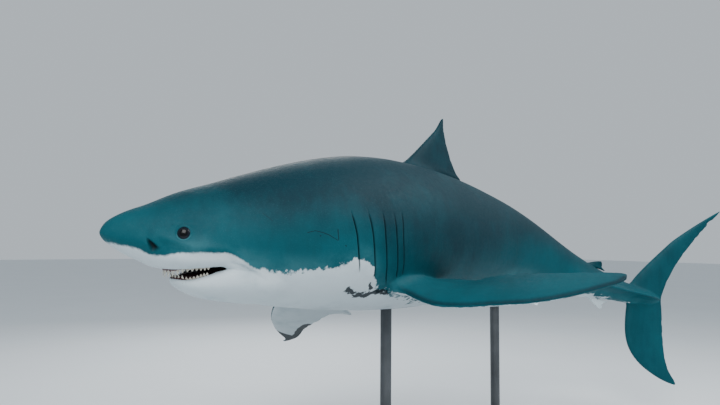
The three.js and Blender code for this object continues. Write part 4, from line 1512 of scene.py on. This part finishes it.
        def shape(t: np.ndarray, angle: np.ndarray, pole: np.ndarray) -> np.ndarray:
            """Runs a soft tube round the jaw."""
            side = np.where(t < 0, -1, 1)
            across = np.abs(t)
            s, left, level = self.arch(across, upper)
            reach = self.upper_reach if upper else self.lower_reach
            swell = 0.17 * (1 - across ** 6) * (1 + 0.08 * np.cos(across * TWO_PI * self.per_side)) + 0.02
            high = swell * (1.85 - 0.85 * smoothstep(across, 0.2, 0.6))
            depth = np.where(pole, 0, np.cos(angle) * swell * 1.3)
            rise = np.where(pole, 0, np.sin(angle) * high)
            tangent_s = 2 * (self.rear - (self.upper_front if upper else self.lower_front)) * across
            length = np.hypot(tangent_s, reach)
            inset = 0.07 + 0.12 * smoothstep(across, 0.35, 0.7)
            return SPINE.place(
                s + depth * reach / length + 0.1, side * (left - depth * tangent_s / length),
                level + (inset if upper else -inset) + rise)

        gum = shaped_ball(name, 20, np.linspace(-1, 1, 161), shape, Part.BODY)
        gum.data.materials.clear()
        gum.data.materials.append(finish.material())
        bpy.ops.object.shade_smooth()
        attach(gum, "root")
        return gum


@dataclass
class Tongue:
    """The short thick tongue on the floor of the mouth."""

    points: int = 48

    def build(self, finish: "GumFinish") -> bpy.types.Object:
        """Makes the tongue."""
        stations = TONGUE.front + (TONGUE.rear - TONGUE.front) * np.linspace(0, 1, 40) ** 1.6
        tongue = spine_form("tongue", self.points, stations, TONGUE.section, Part.MOUTH)
        tongue.data.materials.clear()
        tongue.data.materials.append(finish.material())
        bpy.ops.object.shade_smooth()
        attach(tongue, "root")
        return tongue


def tone(red: int, green: int, blue: int) -> tuple[float, float, float, float]:
    """Turns a colour as a screen shows it into the renderer's linear one."""
    shares = (red / 255, green / 255, blue / 255)
    linear = [v / 12.92 if v <= 0.04045 else ((v + 0.055) / 1.055) ** 2.4 for v in shares]
    return (*linear, 1.0)


class Recipe:
    """One material's nodes, ending in a principled shader."""

    def __init__(self, name: str) -> None:
        """Starts a material with that name."""
        self.material = bpy.data.materials.new(name)
        self.material.use_nodes = True
        self.tree = self.material.node_tree
        self.tree.nodes.clear()
        self.shader = self.tree.nodes.new("ShaderNodeBsdfPrincipled")
        output = self.tree.nodes.new("ShaderNodeOutputMaterial")
        self.tree.links.new(self.shader.outputs[0], output.inputs[0])

    def feed(self, socket: bpy.types.NodeSocket, value: object) -> None:
        """Links a socket to another node, or sets it."""
        if isinstance(value, bpy.types.NodeSocket):
            self.tree.links.new(value, socket)
        elif value is not None:
            socket.default_value = value

    def add(
        self, kind: str, values: Sequence[object], output: int = 0, **settings: object,
    ) -> bpy.types.NodeSocket:
        """Adds a node.

        Args:
            kind: The node's type.
            values: What its inputs read, in order, with None for those left alone.
            output: Which output to give back.
            settings: The node's own settings.

        Returns:
            The output socket.
        """
        node = self.tree.nodes.new(kind)
        for name, value in settings.items():
            setattr(node, name, value)
        for socket, value in zip(node.inputs, values):
            self.feed(socket, value)
        return node.outputs[output]

    def attribute(self, name: str, vector: bool = False) -> bpy.types.NodeSocket:
        """Reads a mesh attribute."""
        return self.add("ShaderNodeAttribute", (), output=1 if vector else 2, attribute_name=name)

    def math(self, operation: str, a: object, b: object, last: object = None) -> bpy.types.NodeSocket:
        """Works out one sum; the last term is a third number, or True to keep the sum within 0 to 1."""
        clamp = last is True
        values = (a, b, None if clamp else last)
        return self.add("ShaderNodeMath", values, operation=operation, use_clamp=clamp)

    def rise(self, value: object, low: float, high: float, top: float = 1.0) -> bpy.types.NodeSocket:
        """Rises smoothly from 0 at low to top at high."""
        return self.add("ShaderNodeMapRange", (value, low, high, 0.0, top), interpolation_type="SMOOTHSTEP")

    def stretch(self, vector: object, scale: tuple[float, float, float]) -> bpy.types.NodeSocket:
        """Scales a vector along its axes."""
        return self.add("ShaderNodeVectorMath", (vector, scale), operation="MULTIPLY")

    def noise(
        self, vector: object, scale: float, detail: float = 4.0, roughness: float = 0.55,
    ) -> bpy.types.NodeSocket:
        """Reads cloudy noise from 0 to 1."""
        return self.add("ShaderNodeTexNoise", (vector, None, scale, detail, roughness))

    def mix(self, share: object, a: object, b: object) -> bpy.types.NodeSocket:
        """Mixes two colours."""
        node = self.tree.nodes.new("ShaderNodeMix")
        node.data_type = "RGBA"
        for index, value in ((0, share), (6, a), (7, b)):
            self.feed(node.inputs[index], value)
        return node.outputs[2]

    def set(self, name: str, value: object) -> None:
        """Sets or links one of the shader's sockets."""
        self.feed(self.shader.inputs[name], value)

    def bump(
        self, height: object, distance: float, strength: float = 1.0, under: object = None,
    ) -> bpy.types.NodeSocket:
        """Turns a height into a bump, in metres."""
        node = self.tree.nodes.new("ShaderNodeBump")
        inputs = {"Height": height, "Distance": distance, "Strength": strength, "Normal": under}
        for name, value in inputs.items():
            if value is not None:
                self.feed(node.inputs[name], value)
        return node.outputs[0]


@dataclass(frozen=True)
class Scratch:
    """An old scratch on the left flank: a broken line in the side view, in per cent."""

    knots: tuple[tuple[float, float], ...]
    width: float = 0.05
    strength: float = 0.8


@dataclass(frozen=True)
class SkinFinish:
    """Slate-teal back and white belly with a ragged border, fine tooth-like scales and old scratches."""

    name: str = "shark_skin"
    crown: tuple[int, int, int] = (0, 40, 50)
    flank: tuple[int, int, int] = (12, 74, 84)
    sheen: tuple[int, int, int] = (70, 128, 136)
    white: tuple[int, int, int] = (196, 208, 213)
    stained: tuple[int, int, int] = (138, 160, 168)
    black: tuple[int, int, int] = (10, 18, 24)
    # Near-black painted shade for the gill slits, the nostrils and the eye sockets.
    recess_shade: tuple[int, int, int] = (6, 11, 15)
    pore_scale: float = 78.0
    leather_scale: float = 95.0
    grain_scale: float = 240.0
    tooth_scale: float = 620.0
    specular: float = 0.12
    # Mouth lining: pink, darkened as painted shade inside the mouth.
    shaded_lining: tuple[int, int, int] = (44, 26, 30)
    scratches: tuple[Scratch, ...] = (
        Scratch(((16.17, 0.18), (16.75, 0.34), (17.43, 0.21), (18.05, -0.05), (18.73, -0.51)), 0.06),
        Scratch(((18.76, 0.51), (18.8, -0.47)), 0.07),
        Scratch(((17.2, -0.1), (17.26, -0.12)), 0.09),
        Scratch(((19.45, -0.98), (19.5, -1.02)), 0.1),
        Scratch(((30.2, 1.4), (31.6, 0.7), (32.3, 0.5)), 0.04, 0.5),
        Scratch(((41.5, 2.2), (43.2, 1.9)), 0.04, 0.5),
        Scratch(((12.6, 1.9), (13.3, 1.2)), 0.04, 0.5))

    def scratch_mask(self, recipe: Recipe, rest: bpy.types.NodeSocket) -> bpy.types.NodeSocket:
        """Draws the scratches as thin broken lines.

        Args:
            recipe: The material being made.
            rest: The places along the straightened body, in metres.

        Returns:
            How much each place lies in a scratch.
        """
        left = recipe.rise(recipe.add("ShaderNodeSeparateXYZ", (rest,), output=1), 0.0, 0.02)
        wobble = recipe.add("ShaderNodeTexNoise", (rest, None, 55.0, 3.0), output=1)
        bent = recipe.add("ShaderNodeVectorMath", (wobble, (0.5, 0.5, 0.5)), operation="SUBTRACT")
        bent = recipe.add("ShaderNodeVectorMath", (bent, (0.006, 0.0, 0.006), rest), operation="MULTIPLY_ADD")
        flat = recipe.stretch(bent, (1, 0, 1))
        total: object = 0.0
        for scratch in self.scratches:
            for start, end in zip(scratch.knots, scratch.knots[1:]):
                first = Vector((start[0], 0, start[1])) * PER_CENT
                run = Vector((end[0], 0, end[1])) * PER_CENT - first
                offset = recipe.add("ShaderNodeVectorMath", (flat, first), operation="SUBTRACT")
                along = recipe.add("ShaderNodeVectorMath", (offset, run), output=1, operation="DOT_PRODUCT")
                share = recipe.math("DIVIDE", along, run.length_squared, True)
                foot = recipe.add("ShaderNodeCombineXYZ", (share, share, share))
                foot = recipe.stretch(foot, tuple(run))
                gap = recipe.add("ShaderNodeVectorMath", (offset, foot), output=1, operation="DISTANCE")
                half = scratch.width * PER_CENT / 2
                mark = recipe.rise(gap, half * 1.5, half * 0.5, scratch.strength)
                total = recipe.math("MAXIMUM", total, mark)
        return recipe.math("MULTIPLY", total, left)

    def pore_mask(
        self, recipe: Recipe, rest: bpy.types.NodeSocket, station: bpy.types.NodeSocket,
    ) -> bpy.types.NodeSocket:
        """Sprinkles the head with the small dark pores of its sense organs."""
        cells = recipe.add("ShaderNodeTexVoronoi", (rest, None, self.pore_scale))
        patches = recipe.rise(recipe.noise(rest, 9.0, 2.0), 0.5, 0.6)
        head = recipe.math("MULTIPLY", recipe.rise(station, 0.5, 0.3), patches)
        return recipe.math("MULTIPLY", recipe.rise(cells, 0.13, 0.08, 0.6), head)

    def back_colour(
        self, recipe: Recipe, rest: bpy.types.NodeSocket, shade: bpy.types.NodeSocket,
    ) -> bpy.types.NodeSocket:
        """Mixes the slate of the back, darker to the crown, clouded and finely grained."""
        cloud = recipe.noise(rest, 3.4, 6.0, 0.6)
        streak = recipe.noise(recipe.stretch(rest, (30, 20, 6)), 1.0, 5.0, 0.6)
        blend = recipe.math("MULTIPLY_ADD", cloud, 1.1, -0.55)
        blend = recipe.math("ADD", recipe.rise(shade, 0.4, 8.0), blend)
        blend = recipe.math("ADD", blend, recipe.math("MULTIPLY_ADD", streak, 0.5, -0.25), True)
        back = recipe.mix(blend, tone(*self.flank), tone(*self.crown))
        pale = recipe.math("MULTIPLY", recipe.rise(shade, 2.2, 0.2), recipe.rise(cloud, 0.4, 0.62))
        back = recipe.mix(recipe.math("MULTIPLY", pale, 0.35), back, tone(*self.sheen))
        grain = recipe.noise(rest, self.grain_scale, 3.0, 0.6)
        return recipe.mix(recipe.rise(grain, 0.52, 0.8, 0.14), back, tone(*self.sheen))

    def material(self) -> bpy.types.Material:
        """Makes the skin's material."""
        recipe = Recipe(self.name)
        rest = recipe.attribute("rest", vector=True)
        shade = recipe.attribute("shade")
        ragged = recipe.noise(recipe.stretch(rest, (22, 30, 11)), 1.0, 7.0, 0.62)
        flecks = recipe.noise(rest, 60.0, 5.0, 0.6)
        wander = recipe.math("MULTIPLY_ADD", ragged, 2.6, recipe.math("ADD", flecks, -1.8))
        station = recipe.add("ShaderNodeSeparateXYZ", (rest,))
        unruly = recipe.math("ADD", recipe.rise(station, 0.45, 0.75, 0.78), 0.22)
        edge = recipe.math("ADD", shade, recipe.math("MULTIPLY", wander, unruly))
        dark = recipe.rise(edge, -0.12, 0.16)
        stain = recipe.noise(rest, 7.0, 5.0, 0.6)
        white = recipe.mix(recipe.rise(stain, 0.45, 0.8, 0.45), tone(*self.white), tone(*self.stained))
        colour = recipe.mix(dark, white, self.back_colour(recipe, rest, shade))
        under = recipe.math("ADD", ragged, flecks)
        under = recipe.math("MULTIPLY_ADD", under, 1.3, recipe.attribute("under_gills"))
        under = recipe.rise(under, 1.8, 1.98)
        tip = recipe.math("MULTIPLY", recipe.attribute("tip"), recipe.rise(edge, 0.5, -0.3))
        tip = recipe.rise(recipe.math("MULTIPLY_ADD", ragged, 0.4, tip), 0.56, 0.7)
        marked = recipe.math("MULTIPLY", recipe.math("MAXIMUM", under, tip), 0.92)
        colour = recipe.mix(marked, colour, tone(*self.black))
        colour = recipe.mix(self.scratch_mask(recipe, rest), colour, tone(*self.black))
        colour = recipe.mix(self.pore_mask(recipe, rest, station), colour, tone(*self.black))
        # Painted highlight: the thin pale line under each eye, mixed halfway to the sheen colour.
        colour = recipe.mix(recipe.math("MULTIPLY", recipe.attribute("pale"), 0.5), colour, tone(*self.sheen))
        # The mouth's lining, its pink darkened as painted shade.
        colour = recipe.mix(recipe.attribute("mouth"), colour, tone(*self.shaded_lining))
        # Painted shade: the gill slits, the nostrils and the eye sockets are darkened towards near-black
        # where shade falls in them.
        recess_shadow = recipe.math("MULTIPLY", recipe.attribute("socket_shade"), 0.9)
        recess_shadow = recipe.math("MAXIMUM", recipe.attribute("slit"), recess_shadow)
        colour = recipe.mix(recipe.math("MULTIPLY", recess_shadow, 0.94), colour, tone(*self.recess_shade))
        recipe.set("Base Color", colour)
        recipe.set("Roughness", recipe.math("MULTIPLY_ADD", flecks, 0.3, 0.42))
        recipe.set("Specular IOR Level", self.specular)
        leather = recipe.bump(recipe.noise(rest, self.leather_scale, 4.0, 0.6), 0.0016, 0.5)
        scales = recipe.add("ShaderNodeTexVoronoi", (rest, None, self.tooth_scale))
        recipe.set("Normal", recipe.bump(scales, 0.0005, 0.6, leather))
        return recipe.material


@dataclass(frozen=True)
class EyeFinish:
    """Wet black with a hint of a dark blue ring."""

    name: str = "shark_eye"
    pupil: tuple[int, int, int] = (3, 4, 6)
    ring_dark: tuple[int, int, int] = (6, 10, 18)
    ring_pale: tuple[int, int, int] = (16, 26, 38)
    specular: float = 0.22

    def material(self) -> bpy.types.Material:
        """Makes the eye's material."""
        recipe = Recipe(self.name)
        gaze = recipe.attribute("gaze")
        ring = recipe.math("MULTIPLY", recipe.rise(gaze, 0.72, 0.8), recipe.rise(gaze, 0.93, 0.88))
        fibre = recipe.noise(recipe.add("ShaderNodeTexCoord", (), output=3), 420.0, 4.0)
        iris = recipe.mix(fibre, tone(*self.ring_dark), tone(*self.ring_pale))
        colour = recipe.mix(ring, tone(*self.pupil), iris)
        recipe.set("Base Color", colour)
        recipe.set("Roughness", recipe.math("MULTIPLY_ADD", fibre, 0.04, 0.16))
        recipe.set("Specular IOR Level", self.specular)
        return recipe.material


@dataclass(frozen=True)
class ToothFinish:
    """Ivory enamel, clouded with a faint stain."""

    name: str = "tooth_enamel"
    enamel: tuple[int, int, int] = (214, 210, 196)
    stain: tuple[int, int, int] = (178, 168, 146)

    def material(self) -> bpy.types.Material:
        """Makes the teeth's material."""
        recipe = Recipe(self.name)
        place = recipe.add("ShaderNodeTexCoord", (), output=3)
        stain = recipe.noise(place, 90.0, 5.0)
        stained = recipe.rise(stain, 0.4, 0.75)
        recipe.set("Base Color", recipe.mix(stained, tone(*self.enamel), tone(*self.stain)))
        recipe.set("Roughness", recipe.math("MULTIPLY_ADD", stain, 0.12, 0.25))
        recipe.set("Normal", recipe.bump(recipe.noise(place, 700.0, 3.0), 0.0003, 0.4))
        return recipe.material


@dataclass(frozen=True)
class GumFinish:
    """Moist greyish pink, darkened as painted shade inside the mouth."""

    name: str = "gum"
    # Both pinks are darkened as painted shade for the inside of the mouth.
    deep: tuple[int, int, int] = (58, 34, 38)
    pale: tuple[int, int, int] = (86, 54, 57)

    def material(self) -> bpy.types.Material:
        """Makes the gums' material."""
        recipe = Recipe(self.name)
        place = recipe.add("ShaderNodeTexCoord", (), output=3)
        cloud = recipe.noise(place, 45.0, 5.0)
        recipe.set("Base Color", recipe.mix(cloud, tone(*self.deep), tone(*self.pale)))
        recipe.set("Roughness", recipe.math("MULTIPLY_ADD", cloud, 0.2, 0.3))
        recipe.set("Normal", recipe.bump(cloud, 0.002, 0.5))
        return recipe.material


@dataclass(frozen=True)
class PaintedSteelFinish:
    """Satin dark grey powder coat over steel."""

    name: str = "painted_steel"
    colour: tuple[int, int, int] = (58, 62, 66)
    lift: int = 16

    def material(self) -> bpy.types.Material:
        """Makes the stand's material."""
        recipe = Recipe(self.name)
        place = recipe.add("ShaderNodeTexCoord", (), output=3)
        cloud = recipe.noise(place, 6.0, 6.0, 0.6)
        peel = recipe.noise(place, 420.0, 2.0, 0.5)
        lighter = tuple(min(v + self.lift, 255) for v in self.colour)
        clouded = recipe.rise(cloud, 0.35, 0.7)
        recipe.set("Base Color", recipe.mix(clouded, tone(*self.colour), tone(*lighter)))
        recipe.set("Roughness", recipe.math("MULTIPLY_ADD", cloud, 0.22, 0.36))
        recipe.set("Normal", recipe.bump(peel, 0.0004, 0.5))
        return recipe.material


@dataclass
class Stand:
    """The steel plate and its two rods."""

    rod_radius: float = 0.03
    rod_stations: dict[str, float] = field(default_factory=lambda: {"front": 33.0, "rear": 57.0})
    collar_radius: float = 0.062
    collar_height: float = 0.04
    sides: int = 72

    def rod(self, name: str, finish: PaintedSteelFinish) -> bpy.types.Object:
        """Makes a rod with a collar at its foot."""
        low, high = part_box(f"stand_rod_{name}")
        centre = (low + high) / 2
        bpy.ops.object.select_all(action="DESELECT")
        top = high.z + 0.004
        bpy.ops.mesh.primitive_cylinder_add(
            vertices=self.sides, radius=self.rod_radius, depth=top - low.z,
            location=(centre.x, centre.y, (top + low.z) / 2))
        rod = bpy.context.object
        bpy.ops.object.transform_apply(location=True, rotation=True, scale=True)
        bpy.ops.object.select_all(action="DESELECT")
        bpy.ops.mesh.primitive_cylinder_add(
            vertices=self.sides, radius=self.collar_radius, depth=self.collar_height,
            location=(centre.x, centre.y, low.z + self.collar_height / 2))
        collar = bpy.context.object
        bpy.ops.object.transform_apply(location=True, rotation=True, scale=True)
        combine(rod, collar, "UNION")
        bevel = rod.modifiers.new("bevel", "BEVEL")
        bevel.width, bevel.segments, bevel.limit_method = 0.004, 3, "ANGLE"
        bpy.ops.object.modifier_apply(modifier=bevel.name)
        rod.name = rod.data.name = f"rod_{name}"
        rod.data.materials.clear()
        rod.data.materials.append(finish.material())
        bpy.ops.object.shade_smooth_by_angle(angle=math.radians(30))
        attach(rod, "root")
        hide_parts(f"stand_rod_{name}")
        return rod

    def build(self, finish: PaintedSteelFinish) -> list[bpy.types.Object]:
        """Dresses the plate and makes the rods."""
        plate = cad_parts["stand_base"]
        plate.data.materials.clear()
        plate.data.materials.append(finish.material())
        return [plate] + [self.rod(name, finish) for name in self.rod_stations]


@dataclass
class Studio:
    """A pale floor, soft lights and the camera."""

    floor_size: float = 80.0
    camera_offset: tuple[float, float, float] = (-8.272, -54.241, -0.752)
    turn: float = 0.573
    pitch: float = 0.070
    roll: float = 0.008
    lens: float = 29.0
    lights: tuple[tuple[tuple[float, float, float], float, float], ...] = (
        ((-3.2, -3.6, 4.6), 280.0, 3.4), ((2.6, -2.2, 5.0), 220.0, 3.6), ((1.0, 4.5, 3.8), 140.0, 3.0))

    def backdrop(self) -> None:
        """Lays the floor and sets the pale surroundings."""
        bpy.ops.object.select_all(action="DESELECT")
        bpy.ops.mesh.primitive_plane_add(size=self.floor_size)
        floor = bpy.context.object
        floor.name = "studio_floor"
        recipe = Recipe("studio_floor")
        place = recipe.add("ShaderNodeTexCoord", (), output=3)
        cloud = recipe.noise(place, 0.8, 4.0)
        recipe.set("Base Color", recipe.mix(cloud, tone(212, 218, 222), tone(220, 225, 228)))
        recipe.set("Roughness", 0.75)
        floor.data.materials.append(recipe.material)
        world = bpy.data.worlds.new("studio_air")
        world.use_nodes = True
        background = world.node_tree.nodes["Background"]
        background.inputs[0].default_value = tone(214, 224, 232)
        background.inputs[1].default_value = 0.8
        bpy.context.scene.world = world

    def light(self) -> None:
        """Hangs the soft lights."""
        target = Vector((-0.4, 0.0, 1.1))
        for number, (place, power, size) in enumerate(self.lights):
            lamp = bpy.data.lights.new(f"softbox_{number}", "AREA")
            lamp.energy, lamp.size = power, size
            holder = bpy.data.objects.new(lamp.name, lamp)
            holder.location = place
            holder.rotation_euler = (target - Vector(place)).to_track_quat("-Z", "Y").to_euler()
            bpy.context.scene.collection.objects.link(holder)

    def camera(self) -> None:
        """Sets up the camera beside the shark's left flank, a little under its eye."""
        forward = Vector((
            math.sin(self.turn) * math.cos(self.pitch), math.cos(self.turn) * math.cos(self.pitch),
            math.sin(self.pitch)))
        lens = bpy.data.cameras.new("camera")
        lens.lens, lens.sensor_width = self.lens, 36.0
        camera = bpy.data.objects.new("camera", lens)
        camera.location = Vector(SNOUT) + Vector(self.camera_offset) * PER_CENT
        aim = forward.to_track_quat("-Z", "Y").to_matrix() @ Matrix.Rotation(self.roll, 3, "Z")
        camera.rotation_euler = aim.to_euler()
        bpy.context.scene.collection.objects.link(camera)
        bpy.context.scene.camera = camera

    def build(self) -> None:
        """Sets up the studio."""
        self.backdrop()
        self.light()
        self.camera()


def report(pieces: Sequence[bpy.types.Object]) -> None:
    """Says what each finished piece holds."""
    for piece in pieces:
        LOG.info("%s: %d faces", piece.name, len(piece.data.polygons))


def main() -> None:
    """Builds the shark, its stand and the studio."""
    logging.basicConfig(level=logging.INFO, format="%(name)s: %(message)s")
    skin = Skin()
    report([skin.build(SkinFinish())])
    report(skin.eyes.build(EyeFinish()))
    teeth = Teeth()
    report([teeth.row(upper, ToothFinish()) for upper in (True, False)])
    report([teeth.gum(upper, GumFinish()) for upper in (True, False)])
    # The tongue's greyish pink is darkened as painted shade inside the mouth.
    report([Tongue().build(GumFinish("tongue", (70, 48, 52), (98, 68, 70)))])
    report(Stand().build(PaintedSteelFinish()))
    Studio().build()


if __name__ == "__main__":
    main()
